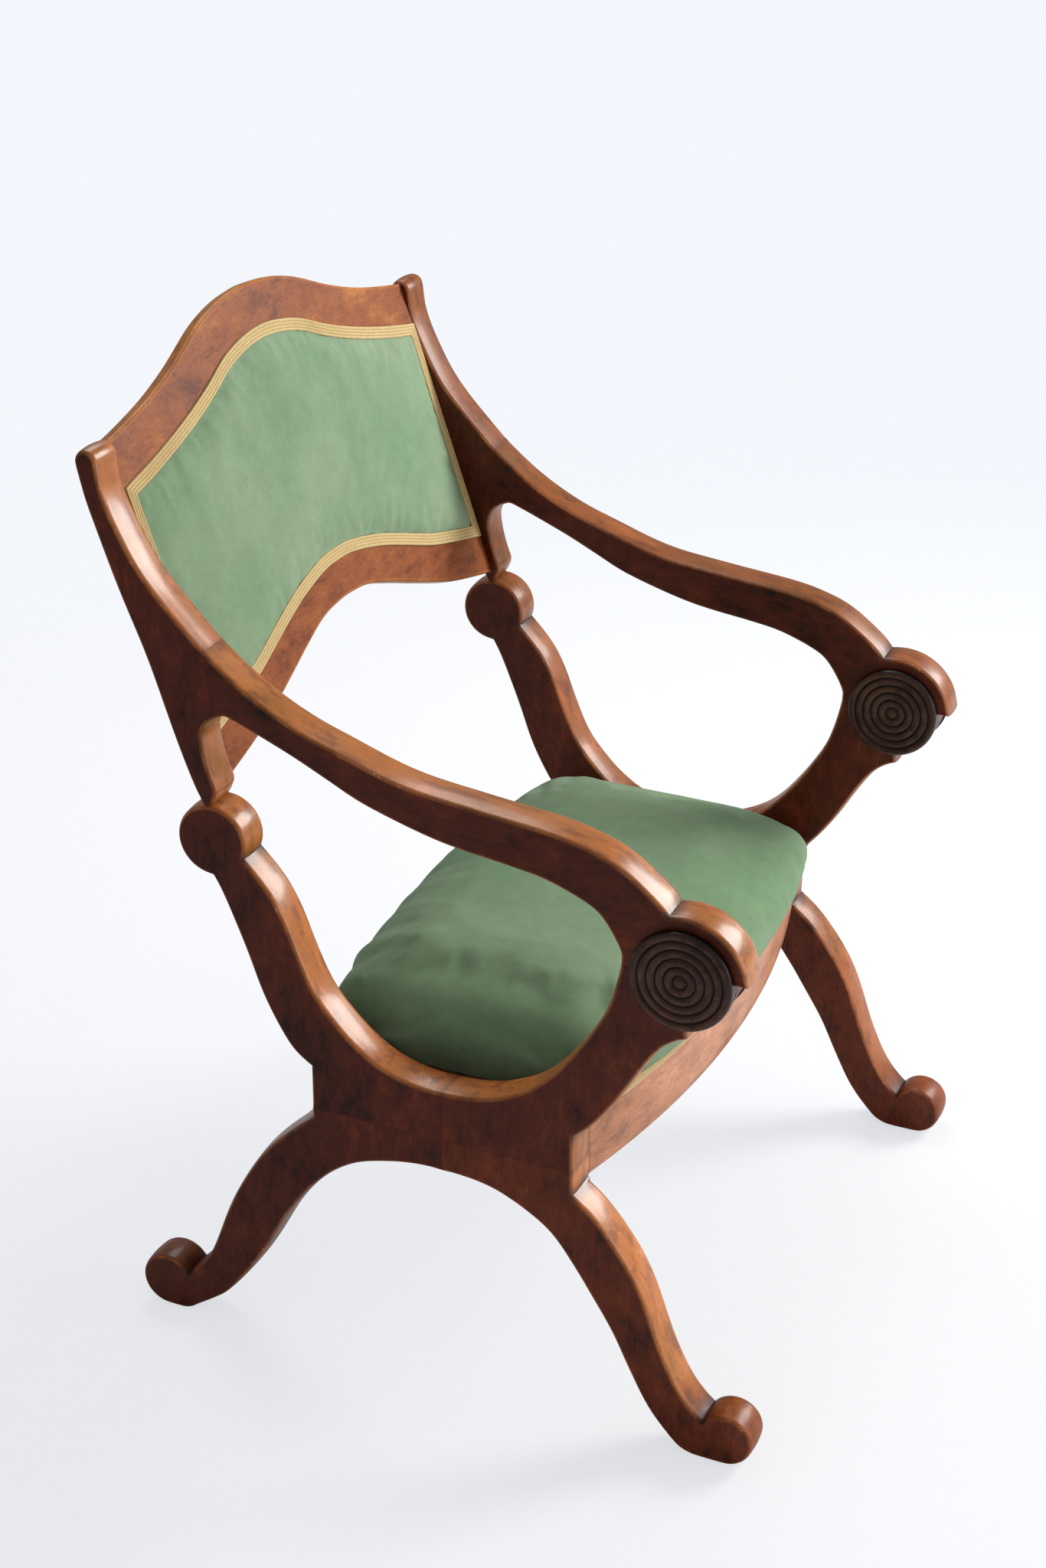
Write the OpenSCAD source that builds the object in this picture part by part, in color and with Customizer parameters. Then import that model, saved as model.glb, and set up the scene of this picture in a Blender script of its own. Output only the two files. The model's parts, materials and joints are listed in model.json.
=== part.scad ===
// Prie-dieu chair with a swinging back. The back and the two arms are one
// frame that turns on pins at the front of the arms. Let down, its posts stand
// on the round tops of the rear uprights and it is an armchair. Swung forward,
// the outside of the back becomes an elbow rest for a person who kneels on the
// seat. Front is -Y, the sitter's right is -X and the floor is z = 0.

/* [Overall size] */
// Height from the floor to the top of the crest rail
chair_h = 909; // [840:1:980]
// Depth from the front feet to the crest rail
chair_d = 654; // [610:1:700]
// Width over the two side frames
chair_w = 620; // [560:1:700]
// Thickness of the side frame boards
board_t = 36; // [32:0.5:42]

/* [Pivots] */
// Radius of the fork cheeks on top of the front uprights
cheek_r = 44; // [40:0.5:47]
// Thickness of one fork cheek
cheek_t = 10; // [8:0.5:11.5]
// Wood of the arm's nose beyond the cheeks
nose_w = 12.6; // [9:0.2:15]
// Diameter of the pivot pins
pin_d = 10; // [6:0.5:14]
// Angle through which the back and arms swing forward
swing = 86; // [72:1:90]
// Clearance between the fork and the round end of the arm
pivot_gap = 0.4; // [0.3:0.1:0.8]

/* [Bosses] */
// Radius of the turned bosses that cover the pivots
boss_r = 45; // [42:0.5:48]
// Thickness of a boss
boss_t = 8; // [6:0.5:12]
// Number of turned rings round the centre bead
boss_rings = 5; // [3:1:7]
// Depth of the grooves between the rings
boss_groove = 2.2; // [1:0.1:3]

/* [Uprights and legs] */
// Radius of the round top of a rear upright
knuckle_r = 34; // [30:0.5:38]
// Radius of the scroll on a front foot
front_scroll_r = 26; // [22:0.5:30]
// Radius of the scroll on a rear foot
rear_scroll_r = 28; // [24:0.5:31]
// Radius of the rounded top of a back post
post_top_r = 11.5; // [9:0.5:13]
// Gap left between parts that meet when the back is let down
rest_gap = 0.3; // [0.2:0.1:0.6]

/* [Seat] */
// Thickness of the bowed seat rails
seat_rail_t = 22; // [18:0.5:26]
// Height of the seat rails
seat_rail_h = 67; // [55:1:72]
// How far the front seat rail bows forward
front_bow = 36; // [20:1:45]
// How far the rear seat rail bows backward
rear_bow = 29; // [15:1:40]
// Thickness of the stuffed cushion at its edge
cushion_edge = 42; // [30:1:55]
// Extra height of the cushion at its crown
cushion_crown = 24; // [8:1:35]
// How far the cushion swells beyond the seat rails
cushion_swell = 7; // [3:0.5:10]
// Width of one strip of webbing
web_w = 50; // [35:1:55]

/* [Back] */
// Thickness of the crest rail and the lower rail
back_rail_t = 14; // [12.5:0.5:16]
// Crown of the padding on the front of the back
front_crown = 8; // [4:0.5:12]
// Crown of the padding on the outside of the back
rear_crown = 8; // [4:0.5:12]

/* [Trim and pegs] */
// Width of the gimp braid
gimp_w = 12; // [9:0.5:15]
// Thickness of the gimp braid
gimp_t = 2; // [1.5:0.1:3]
// Diameter of the dowels in the side frames and seat
dowel_d = 10; // [8:0.5:12]
// Diameter of the dowels in the arms and back rails
small_dowel_d = 6; // [5:0.5:7]

/* [Hidden] */
left = 1;
right = -1;

wood = [0.45, 0.19, 0.09];
inner_wood = [0.62, 0.42, 0.24];
boss_wood = [0.12, 0.07, 0.05];
peg_wood = [0.72, 0.55, 0.34];
steel = [0.55, 0.55, 0.56];
green_cloth = [0.42, 0.58, 0.45];
gold_braid = [0.85, 0.72, 0.42];
jute = [0.66, 0.55, 0.38];
black_cloth = [0.08, 0.08, 0.08];

// Width between the side frames, depth and height at which the outlines below
// were drawn, and the y of the middle of that drawing
drawn_size = [548, 654, 909];
drawn_middle = [11.4, 0];
function deep(y) = (y - drawn_middle[0]) * chair_d / drawn_size[1];
function high(z) = z * chair_h / drawn_size[2];
function at(p) = [deep(p[0]), high(p[1])];
function all_at(list) = [for (p = list) at(p)];

// Places across the chair
inner_x = chair_w / 2 - board_t;
board_x = chair_w / 2 - board_t / 2;
slip = 0.2;
peg_gap = 0.1;

// How far the dowels reach to each side of their joints
middle_peg_reach = 30;
seam_peg_reach = 24;
seat_peg_in = 30;
seat_peg_out = 20;
arm_peg_reach = 17;
rail_peg_in = 25;
rail_peg_out = 18;

// Places of the round ends, as [y, z]
pivot = at([-235, 477]);
knuckle = at([200, 509.6]);
front_scroll = [-chair_d / 2 + front_scroll_r, front_scroll_r];
rear_scroll = [deep(270), rear_scroll_r];
post_top = at([303.5, 836.5]);
nose_r = cheek_r + nose_w;
nose_start = 76;
nose_end = 177;
step_angle = nose_end + swing + 0.3;

// Meeting lines of the side frame boards
joint_y = deep(-18.5);
seam_z = high(264);
front_notch_y = deep(-143);
rear_notch_y = deep(110);

// Outlines of the side frame, as [y, z] points that a smooth curve runs through
u_points = [[-180, 477], [-174, 450], [-163, 420], [-136, 377], [-108, 344], [-80, 326],
            [-51, 316], [-18.5, 313], [7, 314], [37, 322], [63, 338], [85, 359], [102, 381],
            [117, 414], [130, 447], [146, 474]];
u_joint = 7;
arch_points = [[-262, 0], [-251, 3], [-240, 11], [-217, 38], [-198, 73], [-180, 110],
               [-160, 142], [-141, 171], [-118, 199], [-80, 221], [-51, 229], [-18.5, 231],
               [9, 230], [39, 224], [70, 213], [101, 189], [134, 146], [168, 84], [202, 37],
               [220, 21], [237, 9], [247, 2], [256, 0]];
arch_joint = 11;
front_edge_points = [[-222, 409], [-204, 384], [-180, 343], [-158, 313], [-143, 300]];
rear_edge_points = [[192, 460], [172, 412], [154, 364], [130, 322], [110, 306]];
front_leg_points = [[-143, 240], [-165, 222], [-192, 188], [-210, 155], [-229, 103],
                    [-245, 69], [-260, 49]];
rear_leg_points = [[110, 253], [131, 235], [163, 201], [196, 143], [221, 78], [236, 56]];
arm_top_points = [[199, 687], [161, 658], [118, 634.5], [78, 620], [18, 601], [-48, 592.5],
                  [-112, 586], [-144, 580], [-176, 568.5], [-209, 545]];
arm_under_points = [[-180, 487], [-174, 500], [-162, 517], [-147, 527], [-114, 539],
                    [-82, 544.5], [-17, 553.5], [50, 572.5], [84, 588], [118, 604], [152, 618],
                    [170, 625], [183, 629], [193, 625]];
post_front_points = [[199, 687], [220, 708], [243, 732], [262, 757], [282, 795], [290, 818]];
post_rear_points = [[307, 803], [282, 734], [256, 671], [233, 604], [217, 562], [208, 545],
                    [203, 538]];
post_low_points = [[197, 545], [192, 557], [196, 569], [200, 582], [203, 596], [204, 608],
                   [200, 618], [193, 625]];

// Outlines of the back seen square on: [across from the middle, up the slope]
back_foot = at([214, 590]);
back_head = at([289, 805]);
back_slope = atan2(back_head[1] - back_foot[1], back_head[0] - back_foot[0]);
back_stretch = norm(back_head - back_foot) / norm([75, 215]);
crest_points = [[274, 270], [245, 275], [195, 286], [145, 301.5], [90, 323], [45, 334],
                [0, 337.8]];
panel_top_points = [[274, 228], [220, 239], [158, 255], [108, 271.5], [70, 287], [28, 296],
                    [0, 298]];
panel_low_points = [[274, 0], [220, 12], [176, 23], [130, 39], [78, 56], [26, 67], [0, 68]];
lower_edge_points = [[274, -40], [200, -23], [140, -3], [90, 15], [45, 29], [0, 33]];
rebate = 7;
pad_gap = 1.2;
canvas_t = 2.2;

// Heights and edges of the seat
seat_rail_low = high(241);
seat_rail_top = seat_rail_low + seat_rail_h;
web_t = 1.5;
web_top = seat_rail_top + 2 * web_t + slip;
seat_x = inner_x;

// One span of a smooth curve from b to c, at the fraction t
function bend(a, b, c, d, t) =
    0.5 * (2 * b + (c - a) * t + (2 * a - 5 * b + 4 * c - d) * t * t
           + (3 * b - a - 3 * c + d) * t * t * t);

// Points of the smooth curve through list p, from its point i to its point j
function run(p, i, j, n = 5) = [
    for (s = [i : j - 1], k = [0 : n - 1])
        bend(p[max(s - 1, 0)], p[s], p[s + 1], p[min(s + 2, len(p) - 1)], k / n),
    p[j]
];
function curve(p, n = 5) = run(p, 0, len(p) - 1, n);
function around(c, r, a) = c + r * [cos(a), sin(a)];
function arc(c, r, a, b, n = 18) = [for (k = [0 : n]) around(c, r, a + (b - a) * k / n)];
function back_order(list) = [for (k = [len(list) - 1 : -1 : 0]) list[k]];

// A half outline of the back and its mirror image, from the left to the right
function both_sides(p, n = 5) =
    let (half = curve([for (q = p) [q[0] * 2 * inner_x / drawn_size[0], q[1] * back_stretch]], n))
    concat([for (q = half) [-q[0], q[1]]],
           [for (k = [len(half) - 2 : -1 : 0]) half[k]]);

// A line moved sideways by d, from x = -side to x = side
function moved(p, d, side = inner_x) =
    let (last = len(p) - 1,
         line = [for (k = [0 : last])
                    let (run_on = p[min(k + 1, last)] - p[max(k - 1, 0)])
                    p[k] + d * [-run_on[1], run_on[0]] / norm(run_on)])
    [for (k = [0 : last]) let (x = side * (2 * k / last - 1)) [x, lookup(x, line)]];

// Bow of the seat rails in plan at the distance x from the middle
function front_line(x) = front_notch_y - front_bow * (1 - pow(x / seat_x, 2));
function rear_line(x) = rear_notch_y + rear_bow * (1 - pow(x / seat_x, 2));

module on_side(side) {
    if (side == left) children();
    else mirror([1, 0, 0]) children();
}

// A board cut to a [y, z] outline, between two distances from the middle
module slab(outline, x_from, x_to) {
    translate([x_from, 0, 0]) rotate([90, 0, 90]) linear_extrude(x_to - x_from) polygon(outline);
}

// A round bar across the chair at the place c = [y, z]
module crossbar(c, r, x_from, x_to) {
    translate([x_from, c[0], c[1]]) rotate([0, 90, 0]) cylinder(r = r, h = x_to - x_from, $fn = 96);
}

// A flat shape on the slope of the back, from depth d_from to d_to behind its face
module on_back(d_from, d_to) {
    translate([0, back_foot[0], back_foot[1]]) rotate([back_slope, 0, 0])
        translate([0, 0, -d_to]) linear_extrude(d_to - d_from) children();
}

// A closed skin of triangles over rings of points, closed by a fan at each end
module skin(rings, first, last) {
    n = len(rings[0]);
    m = len(rings);
    points = concat([first], [for (r = rings, p = r) p], [last]);
    polyhedron(points, concat(
        [for (k = [0 : n - 1]) [0, 1 + k, 1 + (k + 1) % n]],
        [for (j = [0 : m - 2], k = [0 : n - 1])
            [1 + j * n + k, 1 + (j + 1) * n + k, 1 + j * n + (k + 1) % n]],
        [for (j = [0 : m - 2], k = [0 : n - 1])
            [1 + j * n + (k + 1) % n, 1 + (j + 1) * n + k, 1 + (j + 1) * n + (k + 1) % n]],
        [for (k = [0 : n - 1]) [1 + m * n, 1 + (m - 1) * n + (k + 1) % n, 1 + (m - 1) * n + k]]));
}

// Dowels of one side frame: two across the middle joint, four across the seam
module frame_pegs(grow) {
    r = dowel_d / 2 + grow;
    reach = middle_peg_reach + grow;
    for (z = [high(289), high(247.5)])
        translate([board_x, joint_y - reach, z]) rotate([-90, 0, 0])
            cylinder(r = r, h = 2 * reach, $fn = 48);
    for (y = [deep(-96), deep(-62), deep(46), deep(76)])
        translate([board_x, y, seam_z - seam_peg_reach - grow])
            cylinder(r = r, h = 2 * (seam_peg_reach + grow), $fn = 48);
}

// Dowels that join the seat rails to one side frame, in the middle of the bowed
// rail half way along their reach
module seat_pegs(grow) {
    x = inner_x - seat_peg_in / 2;
    for (y = [front_line(x) + seat_rail_t / 2, rear_line(x) - seat_rail_t / 2],
         z = [high(253), high(287)])
        crossbar([y, z], dowel_d / 2 + grow, inner_x - seat_peg_in - grow, inner_x + seat_peg_out + grow);
}

// Dowels across the joint between one arm and its post
module arm_pegs(grow) {
    for (z = [high(639), high(660)])
        translate([board_x, deep(198) - arm_peg_reach - grow, z]) rotate([-90, 0, 0])
            cylinder(r = small_dowel_d / 2 + grow, h = 2 * (arm_peg_reach + grow), $fn = 48);
}

// Dowels between the back rails and one post
module rail_pegs(grow) {
    for (v = [-26, -6, 234, 256])
        translate([0, back_foot[0], back_foot[1]]) rotate([back_slope, 0, 0])
            translate([inner_x - rail_peg_in - grow, v * back_stretch, -back_rail_t / 2])
                rotate([0, 90, 0]) cylinder(r = small_dowel_d / 2 + grow,
                                            h = rail_peg_in + rail_peg_out + 2 * grow, $fn = 48);
}

// Front upright: from the middle of the seat up to the fork that holds the arm
module front_upright(side) {
    step = around(pivot, nose_r, step_angle);
    outline = concat(
        run(all_at(u_points), 0, u_joint),
        [[joint_y, seam_z], [front_notch_y, seam_z]],
        back_order(curve(concat([step], all_at(front_edge_points)))),
        [pivot]);
    color(wood) on_side(side) difference() {
        union() {
            slab(outline, inner_x, inner_x + board_t);
            crossbar(pivot, cheek_r, inner_x, inner_x + board_t);
        }
        crossbar(pivot, cheek_r + pivot_gap, inner_x + cheek_t, inner_x + board_t - cheek_t);
        crossbar(pivot, pin_d / 2 + 0.01, inner_x - 1, inner_x + board_t + 1);
        frame_pegs(peg_gap);
        seat_pegs(peg_gap);
    }
}

// Rear upright: rises behind the seat to the round top that carries the post
module rear_upright(side) {
    outline = concat(
        run(concat(all_at(u_points), [around(knuckle, knuckle_r - 4, 197)]),
            u_joint, len(u_points)),
        [knuckle],
        curve(concat([around(knuckle, knuckle_r - 4, -84)], all_at(rear_edge_points))),
        [[rear_notch_y, seam_z], [joint_y, seam_z]]);
    color(wood) on_side(side) difference() {
        union() {
            slab(outline, inner_x, inner_x + board_t);
            crossbar(knuckle, knuckle_r, inner_x, inner_x + board_t);
        }
        frame_pegs(peg_gap);
        seat_pegs(peg_gap);
    }
}

// Front leg: half of the arch, ending in a scroll foot
module front_leg(side) {
    outline = concat(
        [[joint_y, seam_z], [front_notch_y, seam_z]],
        curve(concat(all_at(front_leg_points), [around(front_scroll, 0.7 * front_scroll_r, 35)])),
        [front_scroll, [front_scroll[0], 0]],
        run(all_at(arch_points), 0, arch_joint));
    color(wood) on_side(side) difference() {
        union() {
            slab(outline, inner_x, inner_x + board_t);
            crossbar(front_scroll, front_scroll_r, inner_x, inner_x + board_t);
        }
        frame_pegs(peg_gap);
        seat_pegs(peg_gap);
    }
}

// Rear leg: the other half of the arch
module rear_leg(side) {
    outline = concat(
        [[joint_y, seam_z], [rear_notch_y, seam_z]],
        curve(concat(all_at(rear_leg_points), [around(rear_scroll, 0.7 * rear_scroll_r, 150)])),
        [rear_scroll, [rear_scroll[0], 0]],
        back_order(run(all_at(arch_points), arch_joint, len(arch_points) - 1)));
    color(wood) on_side(side) difference() {
        union() {
            slab(outline, inner_x, inner_x + board_t);
            crossbar(rear_scroll, rear_scroll_r, inner_x, inner_x + board_t);
        }
        frame_pegs(peg_gap);
        seat_pegs(peg_gap);
    }
}

module frame_dowels() {
    color(peg_wood) for (side = [left, right]) on_side(side) frame_pegs(0);
}

module seat_dowels() {
    color(peg_wood) for (side = [left, right]) on_side(side) seat_pegs(0);
}

module arm_dowels() {
    color(peg_wood) for (side = [left, right]) on_side(side) arm_pegs(0);
}

module rail_dowels() {
    color(peg_wood) for (side = [left, right]) on_side(side) rail_pegs(0);
}

// Steel pin, tight in the two cheeks and free in the arm
module pivot_pin(side) {
    color(steel) on_side(side)
        crossbar(pivot, pin_d / 2, inner_x + 1.5, inner_x + board_t - 1.5);
}

// Turned boss with rings round a centre bead. Its back is glued to a cheek and
// cut away at the rim, so that the arm turns clear of it.
module boss(side, x, out) {
    foot_r = cheek_r - 1;
    pitch = boss_r / (boss_rings + 0.8);
    function rounded(t) = boss_t - boss_groove * (1 - sqrt(1 - 0.96 * t * t));
    ring_tops = [for (i = [0 : boss_rings - 1], t = [1 : -0.25 : -1])
                    [boss_r - pitch * (i + 0.5 - t / 2), rounded(t)]];
    bead = [for (t = [1 : -0.25 : 0]) [t * pitch * 0.8, rounded(t)]];
    outline = concat([[0, 0], [foot_r, 0], [foot_r, rest_gap + 0.1], [boss_r, rest_gap + 0.1]],
                     ring_tops, bead);
    color(boss_wood) on_side(side) translate([x, pivot[0], pivot[1]]) rotate([0, 90 * out, 0])
        rotate_extrude($fn = 96) polygon(outline);
}

// Arm with its round tongue between the cheeks and its nose round them
module arm(side) {
    notch = around(pivot, nose_r, nose_start);
    throat = [deep(-180), pivot[1] + rest_gap];
    outline = concat(
        curve(concat(all_at(arm_top_points), [notch])),
        arc(pivot, nose_r, nose_start, nose_end),
        [pivot, pivot + [0, rest_gap]],
        curve(concat([throat], all_at(arm_under_points))));
    color(wood) on_side(side) difference() {
        union() {
            difference() {
                slab(outline, inner_x, inner_x + board_t);
                crossbar(pivot, cheek_r + pivot_gap, inner_x - 1, inner_x + cheek_t + slip);
                crossbar(pivot, cheek_r + pivot_gap, inner_x + board_t - cheek_t - slip,
                         inner_x + board_t + 1);
            }
            crossbar(pivot, cheek_r, inner_x + cheek_t + slip, inner_x + board_t - cheek_t - slip);
        }
        crossbar(pivot, pin_d / 2 + 0.05, inner_x - 1, inner_x + board_t + 1);
        arm_pegs(peg_gap);
    }
}

// Back post, standing on the round top of the rear upright
module back_post(side) {
    outline = concat(
        curve(all_at(post_front_points)),
        arc(post_top, post_top_r, 170, -18, 12),
        curve(all_at(post_rear_points)),
        curve(all_at(post_low_points)));
    color(wood) on_side(side) difference() {
        slab(outline, inner_x, inner_x + board_t);
        crossbar(knuckle, knuckle_r + rest_gap, inner_x - 1, inner_x + board_t + 1);
        arm_pegs(peg_gap);
        rail_pegs(peg_gap);
    }
}

// Edge lines of the back
panel_top = both_sides(panel_top_points);
panel_low = both_sides(panel_low_points);

module crest_rail() {
    color(wood) difference() {
        on_back(0, back_rail_t) polygon(concat(both_sides(crest_points),
                                               back_order(moved(panel_top, -rebate))));
        for (side = [left, right]) on_side(side) rail_pegs(peg_gap);
    }
}

module lower_back_rail() {
    color(wood) difference() {
        on_back(0, back_rail_t) polygon(concat(moved(panel_low, rebate),
                                               back_order(both_sides(lower_edge_points))));
        for (side = [left, right]) on_side(side) rail_pegs(peg_gap);
    }
}

// Batten on the inner face of a post, to which the side of the cloth is tacked
module back_batten(side) {
    fit = 0.5;
    low = moved(panel_low, rebate)[0][1] + fit;
    top = moved(panel_top, -rebate)[0][1] - fit;
    color(inner_wood) on_side(side) on_back(0, back_rail_t)
        polygon([[inner_x - rebate, low + 1.5], [inner_x, low], [inner_x, top], [inner_x - rebate, top]]);
}

// The opening between the back rails, drawn in by d
module panel_shape(d) {
    polygon(concat(moved(panel_top, -d, inner_x - d), back_order(moved(panel_low, d, inner_x - d))));
}

module back_canvas() {
    color(jute) on_back(back_rail_t / 2 - canvas_t / 2, back_rail_t / 2 + canvas_t / 2)
        panel_shape(rebate + pad_gap);
}

// Braid round the opening of the back, on its front or its rear face
module back_gimp(d_from) {
    color(gold_braid) on_back(d_from, d_from + gimp_t) difference() {
        panel_shape(0);
        panel_shape(gimp_w);
    }
}

// Loop of points round the opening of the back, drawn in by d
side_steps = 8;
function pad_loop(d) =
    let (low = moved(panel_low, d, inner_x - d),
         top = moved(panel_top, -d, inner_x - d),
         last = len(low) - 1)
    concat(
        [for (k = [0 : 2 : last]) low[k]],
        [for (k = [1 : side_steps - 1]) low[last] + (top[last] - low[last]) * k / side_steps],
        [for (k = [last : -2 : 0]) top[k]],
        [for (k = [1 : side_steps - 1]) top[0] + (low[0] - top[0]) * k / side_steps]);
pad_middle = [0, 160 * back_stretch];
function lifted(loop, z) = [for (p = loop) [p[0], p[1], z]];
function drawn_to(loop, s, z) = lifted([for (p = loop) pad_middle + (p - pad_middle) * s], z);

// Crowned pad: its flat back lies at the height base, its rim under the braid at
// the height rim, and its crown stands above the rim. The crown points along +Z.
module pad(base, rim, crown) {
    edge = pad_loop(rebate + pad_gap);
    shoulder = pad_loop(gimp_w + pad_gap);
    skin(concat([lifted(edge, base), lifted(edge, rim), lifted(shoulder, rim)],
                [for (s = [0.95, 0.85, 0.7, 0.52, 0.34, 0.17])
                    drawn_to(shoulder, s, rim + crown * sqrt(1 - pow(s, 2)))]),
         [pad_middle[0], pad_middle[1], base], [pad_middle[0], pad_middle[1], rim + crown]);
}

module back_front_pad() {
    color(green_cloth) translate([0, back_foot[0], back_foot[1]]) rotate([back_slope, 0, 0])
        pad(-back_rail_t / 2 + canvas_t / 2 + slip, -slip, front_crown);
}

module back_rear_pad() {
    color(green_cloth) translate([0, back_foot[0], back_foot[1]]) rotate([back_slope, 0, 0])
        mirror([0, 0, 1]) pad(back_rail_t / 2 + canvas_t / 2 + slip, back_rail_t - slip, rear_crown);
}

// Bowed rail between two plan lines that are seat_rail_t apart
module seat_rail(line_out, line_in) {
    color(wood) difference() {
        translate([0, 0, seat_rail_low]) linear_extrude(seat_rail_h)
            polygon(concat(line_out, back_order(line_in)));
        for (side = [left, right]) on_side(side) seat_pegs(peg_gap);
    }
}
plan_steps = 24;
plan_xs = [for (k = [0 : plan_steps]) seat_x * (2 * k / plan_steps - 1)];

module seat_front_rail() {
    seat_rail([for (x = plan_xs) [x, front_line(x)]],
              [for (x = plan_xs) [x, front_line(x) + seat_rail_t]]);
}

module seat_rear_rail() {
    seat_rail([for (x = plan_xs) [x, rear_line(x)]],
              [for (x = plan_xs) [x, rear_line(x) - seat_rail_t]]);
}

batten_t = 22;
batten_h = 38;
module seat_batten(side) {
    y_from = front_notch_y + seat_rail_t;
    y_to = rear_notch_y - seat_rail_t;
    color(inner_wood) on_side(side) translate([inner_x - batten_t, y_from, seat_rail_top - batten_h])
        cube([batten_t, y_to - y_from, batten_h]);
}

// Three-cornered blocks glued in the corners of the seat frame
module seat_corner_blocks() {
    block = 50;
    x = inner_x - batten_t;
    fit = 0.2;
    front = function (q) front_line(q) + seat_rail_t + fit;
    rear = function (q) rear_line(q) - seat_rail_t - fit;
    color(inner_wood) for (side = [left, right]) on_side(side)
        translate([0, 0, seat_rail_low + 8]) linear_extrude(seat_rail_h - 16) {
            polygon([[x - fit, front(x)], [x - fit, front(x) + block], [x - block, front(x - block)]]);
            polygon([[x - fit, rear(x)], [x - fit, rear(x) - block], [x - block, rear(x - block)]]);
        }
}

// Jute webbing: one layer front to back, the other side to side
module seat_webbing() {
    pitch = seat_x * 0.36;
    front_edge = 6;
    side_edge = 4;
    end_edge = 8;
    color(jute) for (x = pitch * [-2, -1, 0, 1, 2]) {
        y_from = front_line(abs(x) + web_w / 2) + front_edge;
        y_to = rear_line(abs(x) + web_w / 2) - front_edge;
        translate([x - web_w / 2, y_from, seat_rail_top]) cube([web_w, y_to - y_from, web_t]);
    }
    room = rear_notch_y - front_notch_y - web_w - 2 * end_edge;
    color(jute) for (k = [0 : 3])
        translate([-seat_x + side_edge, front_notch_y + end_edge + room * k / 3,
                   seat_rail_top + web_t + slip])
            cube([2 * (seat_x - side_edge), web_w, web_t]);
}

module seat_bottom_cloth() {
    cloth_t = 1.2;
    edge = 8;
    color(black_cloth) translate([0, 0, seat_rail_low - cloth_t]) linear_extrude(cloth_t)
        polygon(concat([for (x = plan_xs) [x * (1 - 1 / seat_x), front_line(x) + edge]],
                       [for (k = [plan_steps : -1 : 0])
                           [plan_xs[k] * (1 - 1 / seat_x), rear_line(plan_xs[k]) - edge]]));
}

// Plan loop of the cushion, drawn in by in_x at the sides and in_y at the ends,
// with its corners rounded off
function cushion_loop(in_x, in_y, z, steps = 22, side_pts = 7) =
    let (half = seat_x - in_x,
         soft = function (x) 12 * pow(abs(x) / half, 10),
         xs = [for (k = [0 : steps]) half * (2 * k / steps - 1)],
         y0 = front_line(half) + in_y + soft(half),
         y1 = rear_line(half) - in_y - soft(half))
    concat([for (x = xs) [x, front_line(x) + in_y + soft(x), z]],
           [for (k = [1 : side_pts]) [half, y0 + (y1 - y0) * k / (side_pts + 1), z]],
           [for (k = [steps : -1 : 0]) [xs[k], rear_line(xs[k]) - in_y - soft(xs[k]), z]],
           [for (k = [side_pts : -1 : 1]) [-half, y0 + (y1 - y0) * k / (side_pts + 1), z]]);
cushion_mid = (front_notch_y + rear_notch_y) / 2;
function shrunk(loop, s, z) = [for (p = loop) [p[0] * s, cushion_mid + (p[1] - cushion_mid) * s, z]];

// Stuffed seat: drawn in at the bottom, swelling over the rails, crowned on top
module seat_cushion() {
    low = web_top + 0.4;
    top = low + cushion_edge;
    shoulder = cushion_loop(18, 14, top);
    color(green_cloth) skin(concat(
            [cushion_loop(7, 5, low), cushion_loop(2, 0, low + 0.12 * cushion_edge),
             cushion_loop(0.8, -cushion_swell, low + 0.4 * cushion_edge),
             cushion_loop(1.5, -0.7 * cushion_swell, low + 0.66 * cushion_edge),
             cushion_loop(7, 3, low + 0.88 * cushion_edge), shoulder],
            [for (s = [0.9, 0.75, 0.6, 0.45, 0.3, 0.15])
                shrunk(shoulder, s, top + cushion_crown * (1 - pow(s, 2.4)))]),
        [0, cushion_mid, low], [0, cushion_mid, top + cushion_crown]);
}

// Braid along the top of a seat rail
module seat_gimp(line, out) {
    color(gold_braid) translate([0, 0, web_top + 0.2 - gimp_w]) linear_extrude(gimp_w)
        polygon(concat(line, [for (k = [len(line) - 1 : -1 : 0]) line[k] + [0, out * gimp_t]]));
}

module seat_front_gimp() {
    seat_gimp([for (x = plan_xs) [x, front_line(x)]], -1);
}

module seat_rear_gimp() {
    seat_gimp([for (x = plan_xs) [x, rear_line(x)]], 1);
}

outer_face = inner_x + board_t;
front_upright(right);  // right_front_upright
front_upright(left);  // left_front_upright
rear_upright(right);  // right_rear_upright
rear_upright(left);  // left_rear_upright
front_leg(right);  // right_front_leg
front_leg(left);  // left_front_leg
rear_leg(right);  // right_rear_leg
rear_leg(left);  // left_rear_leg
frame_dowels();
pivot_pin(right);  // right_pivot_pin
pivot_pin(left);  // left_pivot_pin
boss(right, outer_face, 1);  // right_outer_boss
boss(right, inner_x, -1);  // right_inner_boss
boss(left, outer_face, 1);  // left_outer_boss
boss(left, inner_x, -1);  // left_inner_boss
seat_front_rail();
seat_rear_rail();
seat_batten(right);  // right_seat_batten
seat_batten(left);  // left_seat_batten
seat_corner_blocks();
seat_dowels();
seat_webbing();
seat_bottom_cloth();
seat_cushion();
seat_front_gimp();
seat_rear_gimp();
arm(right);  // right_arm
arm(left);  // left_arm
back_post(right);  // right_back_post
back_post(left);  // left_back_post
arm_dowels();
crest_rail();
lower_back_rail();
back_batten(right);  // right_back_batten
back_batten(left);  // left_back_batten
rail_dowels();
back_canvas();
back_front_pad();
back_rear_pad();
back_gimp(-gimp_t);  // back_front_gimp
back_gimp(back_rail_t);  // back_rear_gimp
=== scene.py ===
import json
import math

import bmesh
import bpy
import numpy as np
from mathutils import Matrix, Vector, noise


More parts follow.
